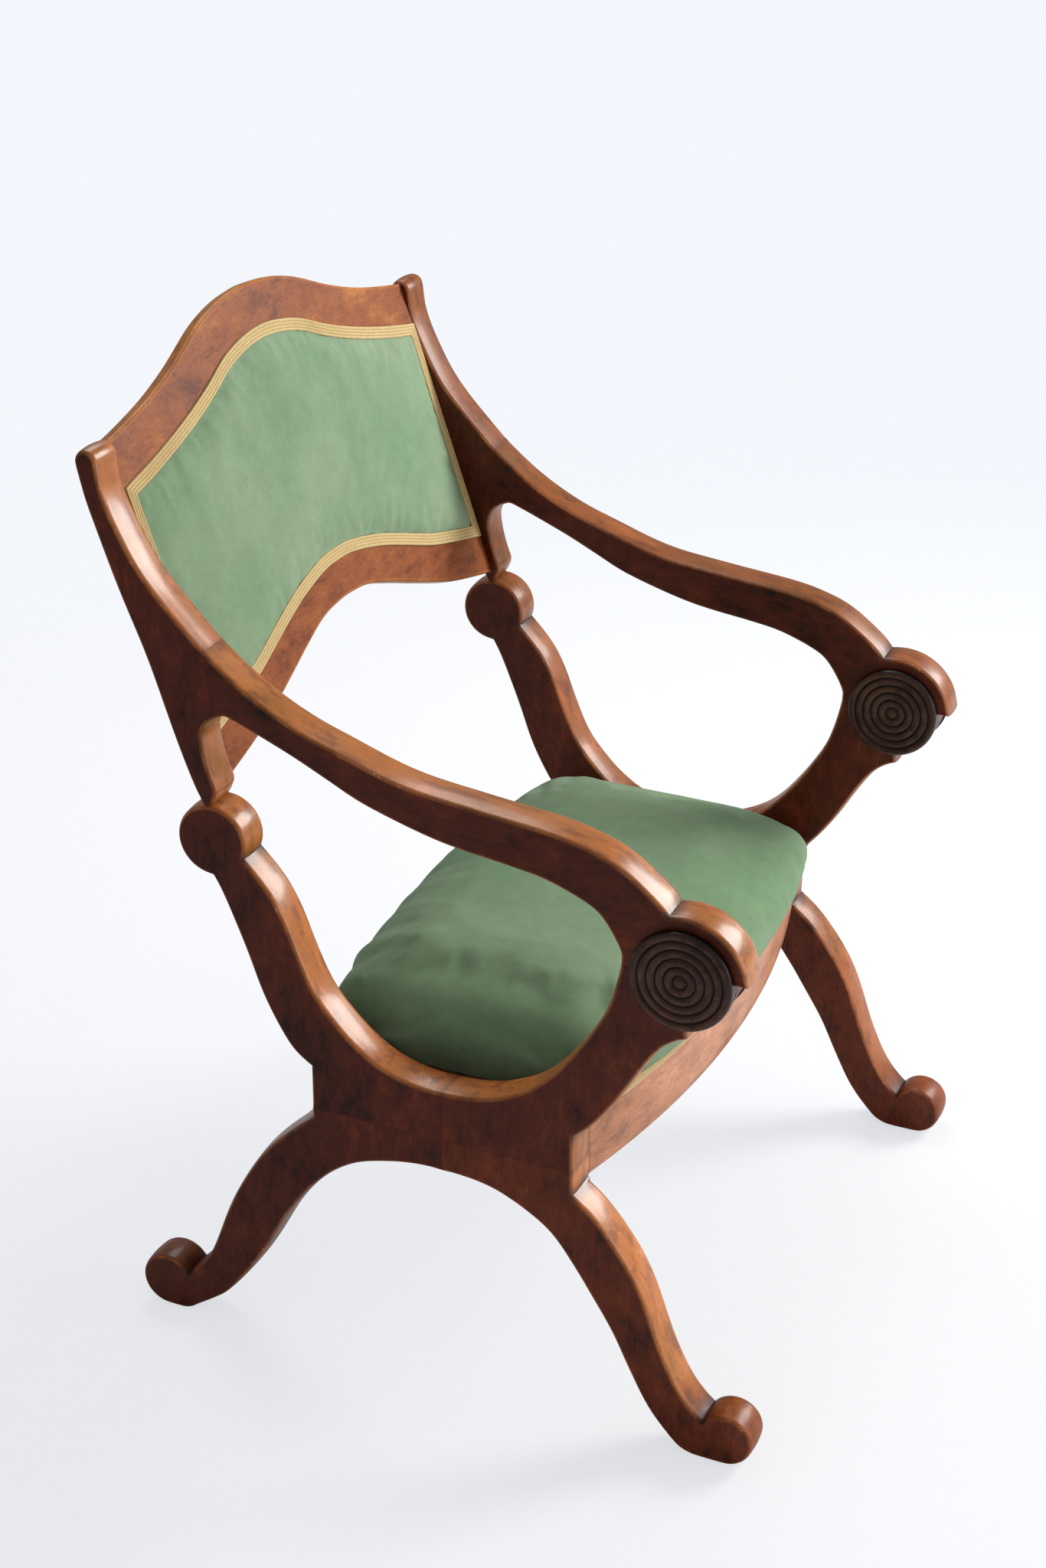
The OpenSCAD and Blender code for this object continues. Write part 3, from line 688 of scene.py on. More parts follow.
def smoothed(loop, step=4 * MM, corner=math.radians(24), room=7 * MM):
    """The loop redrawn with a smooth curve between its corners, and clear of its outward corners."""
    loop = tidied(turned_left(loop), step)
    angles = corner_angles(loop)
    sharp = [i for i in range(len(loop)) if abs(angles[i]) > corner] or [0]
    points = []
    for first, last in zip(sharp, sharp[1:] + sharp[:1]):
        count = (last - first) % len(loop) or len(loop)
        drawn = redrawn(loop[(first + np.arange(count + 1)) % len(loop)], step)
        for _ in range(6):
            drawn[1:-1] = drawn[1:-1] * 0.5 + (drawn[:-2] + drawn[2:]) * 0.25
        gap_a, gap_b = (room * abs(math.tan(angle / 2)) if angle > corner else step * 0.3
                        for angle in angles[[first, last]])
        points.append(drawn[0])
        points.extend(p for p in drawn[1:-1]
                      if distance(p, drawn[0]) > gap_a and distance(p, drawn[-1]) > gap_b)
    return np.array(points)


def inset_vectors(loop, shares):
    """For each point, the move that draws both edges at it in by their shares of one unit."""
    edges = runs(loop)
    inward = np.stack([-edges[:, 1], edges[:, 0]], 1) / sizes_of(edges)[:, None]
    moves = []
    for i in range(len(loop)):
        one, two = inward[i - 1], inward[i]
        if abs(one[0] * two[1] - one[1] * two[0]) < NEARLY_STRAIGHT:
            moves.append((one + two) / np.linalg.norm(one + two) * (shares[i - 1] + shares[i]) / 2)
        else:
            moves.append(np.linalg.solve(np.array([one, two]), np.array([shares[i - 1], shares[i]])))
    return np.array(moves)


def narrowed(loop, moves, reach):
    """The moves, made smaller where the outline is too narrow to be drawn in that far on both sides."""
    run = runs(loop)
    limits = np.ones(len(loop))
    for i, point in enumerate(loop):
        way = moves[i] / max(np.linalg.norm(moves[i]), 1e-9)
        cross = way[0] * run[:, 1] - way[1] * run[:, 0]
        cross[np.abs(cross) < 1e-12] = 1e-12
        gap = loop - point
        far = (gap[:, 0] * run[:, 1] - gap[:, 1] * run[:, 0]) / cross
        along = (gap[:, 0] * way[1] - gap[:, 1] * way[0]) / cross
        hits = far[(along > -1e-6) & (along < 1 + 1e-6) & (far > 1 * MM)]
        if len(hits):
            limits[i] = min(1.0, REACH_LIMIT * hits.min() / (reach * np.linalg.norm(moves[i]) + 1e-9))
    for _ in range(6):
        limits = np.minimum(limits, (np.roll(limits, 1) + limits + np.roll(limits, -1)) / 3)
    for way in (run, -np.roll(run, 1, axis=0)):
        room = REACH_LIMIT * sizes_of(way)
        slide = (moves * way).sum(1) / sizes_of(way) * reach
        limits = np.where(slide > room, np.minimum(limits, room / np.maximum(slide, 1e-9)), limits)
    return moves * limits[:, None]


def opened(loop, shares, room=9 * MM):
    """The loop without the points of its joints that lie close to a free edge."""
    turning = [i for i in range(len(loop)) if shares[i - 1] != shares[i]]
    keep = []
    for i, point in enumerate(loop):
        in_joint = shares[i - 1] == shares[i] == JOINT_SHARE
        if not (in_joint and any(distance(point, loop[j]) < room for j in turning)):
            keep.append(i)
    return loop[keep], shares[keep]


def edge_shares(loop, near_joint):
    """1 for each free edge of the loop and JOINT_SHARE for those that near_joint names."""
    middles = (loop + np.roll(loop, -1, axis=0)) / 2
    return np.array([JOINT_SHARE if near_joint(m) else 1.0 for m in middles])


def line_distance(point, loop):
    """Distance from a point to a closed outline."""
    run = runs(loop)
    t = np.clip(((point - loop) * run).sum(1) / np.maximum((run * run).sum(1), 1e-15), 0, 1)
    return float(sizes_of(loop + run * t[:, None] - point).min())


# Boards with rounded edges

def rounding(thickness, face_reach, edge_reach, crown, parts=6):
    """Across a board from face to face: (height, inset) pairs."""
    drop = 1 - math.sin(STEEPEST)
    half = []
    for k in range(parts + 1):
        angle = STEEPEST * (1 - k / parts)
        height = edge_reach * (1 - math.sin(angle) - drop) / (1 - drop)
        half.append((height, face_reach * (1 - math.cos(angle)) / (1 - math.cos(STEEPEST)) + crown))
    for share in (0.3, 0.65):
        half.append((edge_reach + (thickness / 2 - edge_reach) * share, crown * (1 - share) ** 2))
    return half + [(thickness / 2, 0.0)] + [(thickness - h, i) for h, i in reversed(half)]


def board(name, loop, shares, thickness, to_world, edge=BOARD_EDGE, wear_and_side_shade=1.0, low_shares=None):
    """A board of that outline with its edges rounded off. to_world places (u, v, height).

    The share given for the edges' wear sets how much of their lighter, worn colour they have; on the left
    side it is lowered as painted shade. The scroll feet are less worn.
    low_shares gives, for each point, how much of the rounding the low half has there.
    """
    profile = rounding(thickness, *edge)
    flat = profile[0][1] + FACE_MARGIN
    moves = narrowed(loop, inset_vectors(loop, shares), flat)
    share_at = np.maximum(shares, np.roll(shares, 1))
    low_shares = low_shares or [1.0] * len(loop)
    # The seams are dark, and shade is painted near the inward creases
    creases = [p for p, turn in zip(loop, corner_angles(loop)) if turn < CREASE]
    dark = []
    for i, point in enumerate(loop):
        away = min((distance(point, c) for c in creases), default=1.0)
        dark.append(max(SEAM_DARK if shares[i - 1] != shares[i] else 0.0, 1 - away / CREASE_REACH))
    made = bmesh.new()
    rim, arris, line, seams_and_shade = float_layers(made, "rim", "arris", "line", "seams_and_shade")
    rings = []
    for height, inset in [(0.0, flat), *profile, (thickness, flat)]:
        low = height < thickness / 2
        level = min(height, thickness - height)
        reach = level / edge[1]
        ring = []
        for i, point in enumerate(loop):
            softness = low_shares[i] if low else 1.0
            u, v = point + moves[i] * inset * softness
            lift = level * share_at[i] * softness if reach < 1.01 else level
            vert = made.verts.new(to_world(u, v, lift if low else thickness - lift))
            ring.append(vert)
            if inset == flat:
                continue
            if share_at[i] > 0.5:
                foot = min(1.0, max(0.0, (vert.co.z - FOOT_TOP) / FOOT_FADE))
                # The edges' lighter, worn colour, lowered by the share given, which on the left side is
                # painted shade
                vert[rim] = min(1.0, 0.4 + reach) * wear_and_side_shade * (0.25 + 0.75 * foot)
                vert[arris] = max(0.0, 1 - abs(reach - 0.12) * 3.2)
            vert[line] = 1.0 if level == 0 else 0.0
            vert[seams_and_shade] = dark[i]
        rings.append(ring)
    bridged(made, rings)
    made.faces.new(list(reversed(rings[0])))
    made.faces.new(rings[-1])
    piece = built(made, name, BOARD_SHARP)
    crisp(piece)
    return piece


def crisp(piece):
    """Smooth shading, with the board's arrises and its other corners kept sharp."""
    smooth_shaded(piece, BOARD_SHARP)
    line = piece.data.attributes["line"].data
    for edge in piece.data.edges:
        if min(line[v].value for v in edge.vertices) > 0.99:
            edge.use_edge_sharp = True


def cut_bars(piece, bars):
    """Cuts bars on the pivot's axis out of the piece: (x from, x to) pairs."""
    radius = cheek_r + slot_gap
    across = Matrix.Rotation(math.pi / 2, 4, "Y")
    cutters = []
    for x_from, x_to in bars:
        made = bmesh.new()
        place = Matrix.Translation(((x_from + x_to) / 2, pivot.y, pivot.z)) @ across
        bmesh.ops.create_cone(made, cap_ends=True, segments=128, radius1=radius, radius2=radius,
                              depth=abs(x_to - x_from), matrix=place)
        cutters.append(built(made, "cutter"))
        modifier = piece.modifiers.new("cut", "BOOLEAN")
        modifier.operation = "DIFFERENCE"
        modifier.solver = "EXACT"
        modifier.object = cutters[-1]
    settle(piece)
    crisp(piece)
    for cutter in cutters:
        bpy.data.objects.remove(cutter)


def kept_within(loop, radius):
    """The loop with its points beside the pivot moved in to that radius."""
    centre = np.array([pivot.y, pivot.z])
    length = sizes_of(loop - centre)[:, None]
    share = np.where(length < radius + 1.2 * MM, np.minimum(1, radius / length), 1)
    return centre + (loop - centre) * share


def beside_rail(point):
    """True where the end of a seat rail meets the edge of a side board."""
    y, z = point
    boxes = (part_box(rail) for rail in ("seat_front_rail", "seat_rear_rail"))
    return any(low.y - 1 * MM < y < high.y + 1 * MM and low.z - 3 * MM < z < high.z + 3 * MM
               for low, high in boxes)


def make_side_boards(looks):
    outlines = {part: smoothed(section_loops("left_" + part, inner_x + level)[0])
                for part, level in CLEAR_LEVEL.items()}
    for part, loop in outlines.items():
        def near_joint(point):
            y, z = point[0] - pivot.y, point[1] - pivot.z
            at_fork = math.hypot(y, z) < cheek_r + 1.0 * MM or (abs(z) < 0.5 * MM and y > 0)
            if part in ("arm", "front_upright") and at_fork:
                return True
            return any(line_distance(point, outlines[other]) < 0.6 * MM for other in TOUCHING[part])

        loop, shares = opened(loop, edge_shares(loop, near_joint))
        if part == "arm":
            loop = kept_within(loop, cheek_r - 0.1 * MM)
        low_shares = [0.1 if beside_rail(point) else 1.0 for point in loop]
        for side, sign in SIDES.items():
            name = f"{side}_{part}"
            piece = board("shaped_" + name, loop, shares, board_t,
                          lambda u, v, height: (sign * (inner_x + height), u, v),
                          wear_and_side_shade=EDGE_WEAR_AND_SHADE[side], low_shares=low_shares)
            slot_low, slot_high = sign * (inner_x + cheek_t), sign * (outer_x - cheek_t)
            if part == "front_upright":
                cut_bars(piece, [(slot_low, slot_high)])
            if part == "arm":
                clear = 0.2 * MM * sign
                over = 5 * MM * sign
                cut_bars(piece, [(sign * inner_x - over, slot_low + clear),
                                 (slot_high - clear, sign * outer_x + over)])
            body = "back_and_arms" if part in ("arm", "back_post") else "frame"
            take_place(piece, looks[part], name, body)


def back_plane():
    """The slope of the back: (origin, upward direction, direction out of its front face)."""
    mesh = nodes["crest_rail"].data
    areas = {}
    for polygon in mesh.polygons:
        if polygon.normal.y < -0.5 and abs(polygon.normal.x) < 0.01:
            key = tuple(round(c, 2) for c in polygon.normal)
            areas[key] = areas.get(key, Vector()) + polygon.normal * polygon.area
    facing = max(areas.values(), key=lambda total: total.length).normalized()
    origin = facing * max(v.co.dot(facing) for v in mesh.vertices)
    return origin, Vector((0, facing.z, -facing.y)), facing


BACK_ORIGIN, BACK_UP, BACK_FACING = back_plane()


def on_back(u, v, height):
    """The point u across, v up the slope and height out of the front face of the back."""
    return BACK_ORIGIN + Vector((u, 0, 0)) + BACK_UP * v + BACK_FACING * height


def from_back(p):
    p = Vector(p)
    return (p.x, p.dot(BACK_UP), (p - BACK_ORIGIN).dot(BACK_FACING))


def back_levels(node):
    """The least and greatest height of the node over the front face of the back."""
    levels = [from_back(v.co)[2] for v in nodes[node].data.vertices]
    return min(levels), max(levels)


def make_rail(name, look, to_local, level, thickness, to_world, edge, body):
    """A rail of the seat or the back, from the outline of its face at that level."""
    loop = smoothed(flat_loops(name, to_local, level)[0], room=4 * MM)
    shares = edge_shares(loop, lambda middle: abs(middle[0]) > inner_x - 1.0 * MM)
    piece = board("shaped_" + name, loop, shares, thickness, to_world, edge)
    take_place(piece, look, name, body)


def make_rails(back_look, seat_look):
    rail_t = -back_levels("crest_rail")[0]
    for name in ("crest_rail", "lower_back_rail"):
        make_rail(name, back_look, from_back, 0.0, rail_t, lambda u, v, h: on_back(u, v, h - rail_t),
                  BACK_RAIL_EDGE, "back_and_arms")
    for name in ("seat_front_rail", "seat_rear_rail"):
        low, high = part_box(name)
        make_rail(name, seat_look, tuple, high.z, high.z - low.z, lambda u, v, h: (u, v, low.z + h),
                  SEAT_RAIL_EDGE, "frame")


# Turned bosses

def bead_dip(t):
    """How deep a ring of the boss lies at t from -1 to 1 across it, as a share of its depth."""
    return 0.35 * t * t + 0.5 * (1 - math.sqrt(max(0.0, 1 - 0.97 * t * t)))


def boss_outline(radius, thick):
    """From the rim of a boss to its middle: (radius, height) pairs."""
    pitch = radius / (BOSS_RINGS + 0.8)
    outline = [(radius - 2 * MM, 0.4 * MM), (radius - 0.3 * MM, 0.4 * MM), (radius, 0.9 * MM),
               (radius, thick * 0.42)]
    for ring in range(BOSS_RINGS):
        for k in range(BEAD_POINTS):
            t = 1 - 2 * k / (BEAD_POINTS - 1)
            depth = thick * 0.5 if ring == 0 and t > 0 else BEAD_DEPTH
            outline.append((radius - pitch * (ring + 0.5 - t / 2), thick - depth * bead_dip(t)))
    for k in range(6):
        t = 1 - k / 5
        outline.append((pitch * 0.8 * t, thick - BEAD_DEPTH * bead_dip(t)))
    return [p for k, p in enumerate(outline) if k == 0 or math.dist(p, outline[k - 1]) > 0.001 * MM]


def make_boss(name, face_x, out, look):
    """A boss on the pivot's axis that stands out of the board's face at face_x."""
    low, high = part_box(name)
    thick = high.x - low.x
    made = bmesh.new()
    arris, groove_shade = float_layers(made, "arris", "groove_shade")
    rows = []
    *outline, (_, middle) = boss_outline((high.y - low.y) / 2, thick)
    for r, h in outline:
        row = []
        dip = (thick - h) / BEAD_DEPTH
        for k in range(BOSS_PARTS):
            angle = math.tau * k / BOSS_PARTS
            place = (face_x + out * h, pivot.y + r * math.cos(angle), pivot.z + r * math.sin(angle))
            vert = made.verts.new(place)
            vert[arris] = max(0.0, 1 - dip * 3)
            # How much shade is painted here, most at the bottom of the grooves
            vert[groove_shade] = min(1.0, max(0.0, dip * 1.5 - 0.6))
            row.append(vert)
        rows.append(row)
    hub = made.verts.new((face_x + out * middle, pivot.y, pivot.z))
    hub[arris] = 1.0
    bridged(made, rows)
    for k in range(BOSS_PARTS):
        made.faces.new((rows[-1][k], rows[-1][(k + 1) % BOSS_PARTS], hub))
    made.faces.new(rows[0])
    take_place(built(made, "turned_" + name, BOSS_SHARP), look, name, "frame")


def make_bosses(look):
    for side, sign in SIDES.items():
        make_boss(f"{side}_outer_boss", outer_x * sign, sign, look)
        make_boss(f"{side}_inner_boss", inner_x * sign, -sign, look)


# Stuffed parts

def evened(piece, points, free, rounds):
    """The points drawn towards their neighbours' middle, each by its free share."""
    ends = np.array([tuple(e.vertices) for e in piece.data.edges])
    number = np.bincount(ends.ravel(), minlength=len(points))[:, None]
    for _ in range(rounds):
        total = np.zeros_like(points)
        np.add.at(total, ends[:, 0], points[ends[:, 1]])
        np.add.at(total, ends[:, 1], points[ends[:, 0]])
        points = points + 0.5 * free[:, None] * (total / number - points)
    return points


def blow_up(piece, pressure, pinned):
    """Lets the piece puff up as cloth under pressure, with its pinned shares held."""
    cloth = piece.modifiers.new("cloth", "CLOTH")
    if pinned is not None:
        pins = piece.vertex_groups.new(name="held")
        for i, share in enumerate(pinned):
            pins.add([i], float(share), "REPLACE")
        cloth.settings.vertex_group_mass = "held"
    cloth.settings.use_pressure = True
    cloth.settings.uniform_pressure_force = pressure
    cloth.settings.effector_weights.gravity = 0
    cloth.settings.quality = 5
    cloth.collision_settings.use_collision = False
    for step in range(1, 21):
        bpy.context.scene.frame_set(step)
    settle(piece)
    bpy.context.scene.frame_set(1)


def puffed(node, name, voxel, drawn_in, pressure, reach, shaped=None, held=None):
    """The node's solid as stuffed cloth: remeshed, blown up a little and kept within reach.

    shaped changes the points before that, and held gives the share by which each is pinned.
    """
    points, faces = welded(node)
    mesh = bpy.data.meshes.new(name)
    mesh.from_pydata([tuple(p) for p in points], [], faces)
    piece = linked(name, mesh)
    remesh = piece.modifiers.new("remesh", "REMESH")
    remesh.mode = "VOXEL"
    remesh.voxel_size = voxel
    settle(piece)
    normals = np.array([v.normal for v in piece.data.vertices], float)
    start = get_points(piece.data) - normals * drawn_in
    if shaped:
        start = shaped(piece, start)
    set_points(piece.data, start)
    blow_up(piece, pressure, held(start) if held else None)
    move = get_points(piece.data) - start
    length = sizes_of(move)
    return piece, start + move * (np.minimum(length, reach) / np.maximum(length, 1e-9))[:, None]


def finish_cloth(piece, points, look, node, body):
    set_points(piece.data, points)
    piece.data.shade_smooth()
    piece.data.update()
    smooth = piece.modifiers.new("smooth", "SUBSURF")
    smooth.levels = smooth.render_levels = 1
    take_place(piece, look, node, body)


def soft_fold(points, start, end, width, height):
    """How much a rounded ridge from start to end lifts each of the (u, v) points."""
    run = np.array(end) - start
    along = ((points - start) @ run) / np.linalg.norm(run) ** 2
    off = sizes_of(points - (start + np.clip(along, 0, 1)[:, None] * run))
    taper = np.sin(np.pi * np.clip(0.08 + along * 0.84, 0, 1)) ** 0.7
    return height * np.exp(-(off / width) ** 2) * taper


def rail_face(rail, side):
    """The outer face of a seat rail in plan, as (x, y) points from right to left."""
    loop = flat_loops(rail, tuple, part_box(rail)[1].z)[0]
    return np.array([p for p in loop[np.argsort(loop[:, 0])]
                     if not any(abs(q[0] - p[0]) < 2 * MM and (q[1] - p[1]) * side > 5 * MM for q in loop)])


def drawn_out(short, least, reach, floor=0.0):
    """Distances from an edge, stretched within reach so that the least of them becomes 0."""
    return np.where(short < reach, np.clip((short - least) * reach / (reach - least), floor, None), short)


def make_seat_cushion(look):
    low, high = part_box("seat_cushion")
    wall = inner_x - 0.5 * MM
    fronts = {-1: rail_face("seat_front_rail", -1), 1: rail_face("seat_rear_rail", 1)}

    def edge_of(points, side):
        return np.interp(points[:, 0], fronts[side][:, 0], fronts[side][:, 1])

    def shaped(piece, points):
        points = points.copy()
        # Low down, the cloth comes out to the faces of the rails and to the side boards
        low_share = part_way(points[:, 2], low.z + 22 * MM, -12 * MM)
        for side in (-1, 1):
            short = (edge_of(points, side) + side * 1.5 * MM - points[:, 1]) * side
            points[:, 1] += side * (short - drawn_out(short, 3 * MM, 40 * MM)) * low_share
        short = wall - np.abs(points[:, 0])
        points[:, 0] += np.sign(points[:, 0]) * (short - drawn_out(short, 2.5 * MM, 40 * MM)) * low_share
        # The stuffing rounds off towards both sides in a quarter circle
        radius, foot = 47 * MM, 7 * MM
        over = part_way(np.abs(points[:, 0]), wall - radius, radius)
        share = (foot + radius * np.sqrt(1 - over ** 2)) / (foot + radius)
        points[:, 2] = low.z + (points[:, 2] - low.z) * share
        points = evened(piece, points, part_way(points[:, 2], low.z + 2 * MM, 10 * MM), 40)
        points[:, 2] += 11 * MM * part_way(points[:, 2], low.z, 50 * MM) * (1 - over ** 2)
        # It swells out over both rails, least beside the side boards
        for side, swell in ((-1, 22 * MM), (1, 7 * MM)):
            near = 1 - part_way((edge_of(points, side) - points[:, 1]) * side, 0, 45 * MM)
            belly = np.sin(np.pi * part_way(points[:, 2], low.z, 58 * MM) ** 0.8) ** 0.8
            ends = 1 - 0.85 * part_way(np.abs(points[:, 0]), 0.215, wall - 0.215) ** 1.6
            points[:, 1] += side * swell * near * belly * ends
        return points

    piece, points = puffed("seat_cushion", "seat_cover", 6 * MM, 0.0, 3.0, 4.5 * MM, shaped,
                           lambda points: part_way(points[:, 2], low.z + 12 * MM, -8 * MM))
    rise = np.zeros(len(points))
    for start, end, width, height in SEAT_FOLDS:
        rise += soft_fold(points[:, :2], start, end, width, height * MM)
    for i, p in enumerate(points):
        rise[i] += 1.8 * MM * noise.noise(Vector(p) * 8.0) + 0.25 * MM * noise.noise(Vector(p) * 30.0)
    rise *= part_way(points[:, 2], low.z + 12 * MM, 20 * MM)
    outward = points - np.array([0.0, -0.03, low.z + 10 * MM])
    outward[:, 0] *= 0.15
    points = points + outward / sizes_of(outward)[:, None] * rise[:, None]
    points[:, 2] = np.clip(points[:, 2], low.z, high.z + 8 * MM)
    points[:, 0] = np.clip(points[:, 0], -wall, wall)
    # Painted shade: darker low down beside the side boards, which shade the cloth there
    beside = part_way(np.abs(points[:, 0]), wall - 40 * MM, 30 * MM)
    deep = part_way(points[:, 2], low.z + 52 * MM, -46 * MM)
    dirt_and_shade = piece.data.attributes.new("dirt_and_shade", "FLOAT", "POINT")
    dirt_and_shade.data.foreach_set("value", (0.85 * beside * deep).astype(np.float32))
    finish_cloth(piece, points, look, "seat_cushion", "frame")


def nearest_on(loop, points):
    """For each point: (distance to the closed loop, way along it to the nearest place, that place)."""
    best = np.full(len(points), np.inf)
    along = np.zeros(len(points))
    feet = np.zeros_like(points)
    start = 0.0
    for corner, run in zip(loop, runs(loop)):
        length = np.linalg.norm(run)
        t = np.clip(((points - corner) @ run) / length ** 2, 0, 1)
        places = corner + t[:, None] * run
        gap = sizes_of(points - places)
        closer = gap < best
        best[closer] = gap[closer]
        along[closer] = (start + t * length)[closer]
        feet[closer] = places[closer]
        start += length
    return best, along, feet


def puckers(gap, along, total, seed):
    """How much the short gathers that run in from the braid lift each point."""
    random = np.random.default_rng(seed)
    lift = np.zeros(len(gap))
    place = 0.0
    while place < total:
        width = random.uniform(2.6, 6.0) * MM
        reach = random.uniform(10, 34) * MM
        height = random.uniform(0.6, 2.0) * MM * random.choice([1, 1, -1])
        lean = random.uniform(-0.45, 0.45)
        off = (along - place - lean * gap + total / 2) % total - total / 2
        fading = np.exp(-(gap / reach) ** 2) * (1 - np.exp(-gap / (2 * MM)))
        lift += height * np.exp(-(off / width) ** 2) * fading
        place += random.uniform(6, 26) * MM
    return lift


def make_back_pad(name, cover, gimp, sign, depth, seed, look):
    """One of the back's two pads. depth is how far its ground lies behind the front face."""
    piece, points = puffed(name, cover, 4.5 * MM, 1.0 * MM, 2.0, 3 * MM)
    local = np.array([from_back(p) for p in points])
    out = (local[:, 2] + depth) * sign
    loop = flat_loops(gimp, from_back, back_levels(gimp)[1 if sign > 0 else 0])[1]
    gap, along, feet = nearest_on(loop, local[:, :2])
    # The cloth goes right up to the braid, and a little way up its side
    wanted = drawn_out(gap, np.percentile(gap, 10), 12 * MM, 0.15 * MM)
    flat = feet + (local[:, :2] - feet) / np.maximum(gap, 1e-6)[:, None] * wanted[:, None]
    near = 1 - part_way(wanted, 0, 7 * MM)
    out = np.where(out > -2.5 * MM, np.maximum(out, 1.3 * MM - 3.8 * MM * (1 - near)), out)
    ripple = puckers(wanted, along, perimeter(loop), seed)
    u, v = (flat - loop.mean(axis=0)).T
    upper = 0.35 + 0.65 * part_way(v, -40 * MM, 90 * MM)
    for place, width, height, lean in BACK_FOLDS:
        # Each fold wavers a little on its way up
        wave = 9 * MM * np.sin(v * 31 + place * 60)
        ripple += height * MM * upper * np.exp(-((u - place - lean * v - wave) / width) ** 2)
    for i in range(len(points)):
        ripple[i] += 1.0 * MM * noise.noise(Vector((u[i] * 16, v[i] * 9, 3.0 * sign)))
    level = out + ripple * part_way(out, 0, 1.2 * MM) * part_way(wanted, 0, 3 * MM)
    moved = np.array([on_back(a, b, c) for (a, b), c in zip(flat, level * sign - depth)])
    finish_cloth(piece, moved, look, name, "back_and_arms")


# Braid

def rib_profile():
    """Across the braid: (distance from its outer edge, height) from edge to edge."""
    count = RIBS * 6
    profile = [(0.0, 0.05 * MM)]
    for share in (k / count for k in range(count + 1)):
        height = BRAID_T * (0.72 + 0.38 * abs(math.sin(math.pi * RIBS * share)) ** 0.7)
        profile.append((BRAID_W * share, height))
    return profile + [(BRAID_W, 0.05 * MM)]


def make_braid(node, points, middle, closed, look, body):
    """A ribbed strip through rows of points, which follow the rib profile side by side.

    middle is the line along which its length is measured.
    """
    made = bmesh.new()
    rib, = float_layers(made, "rib")
    uv = made.loops.layers.uv.new("braid")
    heights = [height for _, height in rib_profile()]
    rows = []
    for line, height in zip(points, heights):
        row = [made.verts.new(point) for point in line]
        for vert in row:
            vert[rib] = max(0.0, min(1.0, (height / max(heights) - 0.5) * 2))
        rows.append(row)
    lengths = np.concatenate([[0.0], np.cumsum(sizes_of(np.diff(middle, axis=0)))])
    lengths = np.append(lengths, lengths[-1] + 2 * MM)
    for face, a, k in bridged(made, rows, closed):
        for corner, (step, across) in zip(face.loops, ((k, a), (k + 1, a), (k + 1, a + 1), (k, a + 1))):
            corner[uv].uv = (lengths[step], across / len(rows))
    bridged(made, [rows[-1], rows[0]], closed)
    if not closed:
        made.faces.new([row[0] for row in rows])
        made.faces.new([row[-1] for row in reversed(rows)])
    take_place(built(made, "ribbed_" + node, BRAID_SHARP), look, node, body)


def make_back_braid(look):
    for name, sign in (("back_front_gimp", 1), ("back_rear_gimp", -1)):
        base, top = back_levels(name)[::sign]
        loop = smoothed(flat_loops(name, from_back, top)[0], step=5 * MM, room=13 * MM)
        moves = inset_vectors(loop, np.ones(len(loop)))
        lines = [loop + moves * (inset + 0.1 * MM) for inset, _ in rib_profile()]
        points = [[on_back(u, v, base + sign * height) for u, v in line]
                  for line, (_, height) in zip(lines, rib_profile())]
        make_braid(name, points, lines[len(lines) // 2], True, look, "back_and_arms")


def make_seat_braid(look):
    for name, sign in (("seat_front_gimp", -1), ("seat_rear_gimp", 1)):
        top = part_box(name)[1].z
        bow = sorted((tuple(p) for p in flat_loops(name, tuple, top)[0]), key=lambda p: p[0])
        line = redrawn(np.array([p for p in bow if is_near_rail(p, bow, sign)]), 6 * MM)
        run = np.gradient(line, axis=0)
        outward = np.stack([-run[:, 1], run[:, 0]], 1) / sizes_of(run)[:, None]
        outward *= np.sign(outward[:, 1:2]) * sign
        outward[0] = outward[-1] = (0, sign)
        points = [[(u, v, top - drop) for u, v in line + outward * height] for drop, height in rib_profile()]
        make_braid(name, points, line, False, look, "frame")


def is_near_rail(point, bow, sign):
    """True for the points of the braid's edge that lies against the rail."""
    inner = min((p for p in bow if abs(p[0] - point[0]) < 1 * MM), key=lambda p: p[1] * sign)
    return abs(point[1] - inner[1]) < 0.4 * BRAID_T


# Floor, light and picture

def seen_and_lit(tree, output, seen, lighting):
    """The camera sees one shader, and the chair is lit by the other."""
    path = new_node(tree, "ShaderNodeLightPath")
    pick = after("ShaderNodeMixShader", {0: path.outputs["Is Camera Ray"], 1: lighting.outputs[0],
                                         2: seen.outputs[0]})
    after(output, {"Surface": pick.outputs[0]})


def cleared_tree(owner):
    owner.use_nodes = True
    owner.node_tree.nodes.clear()
    return owner.node_tree


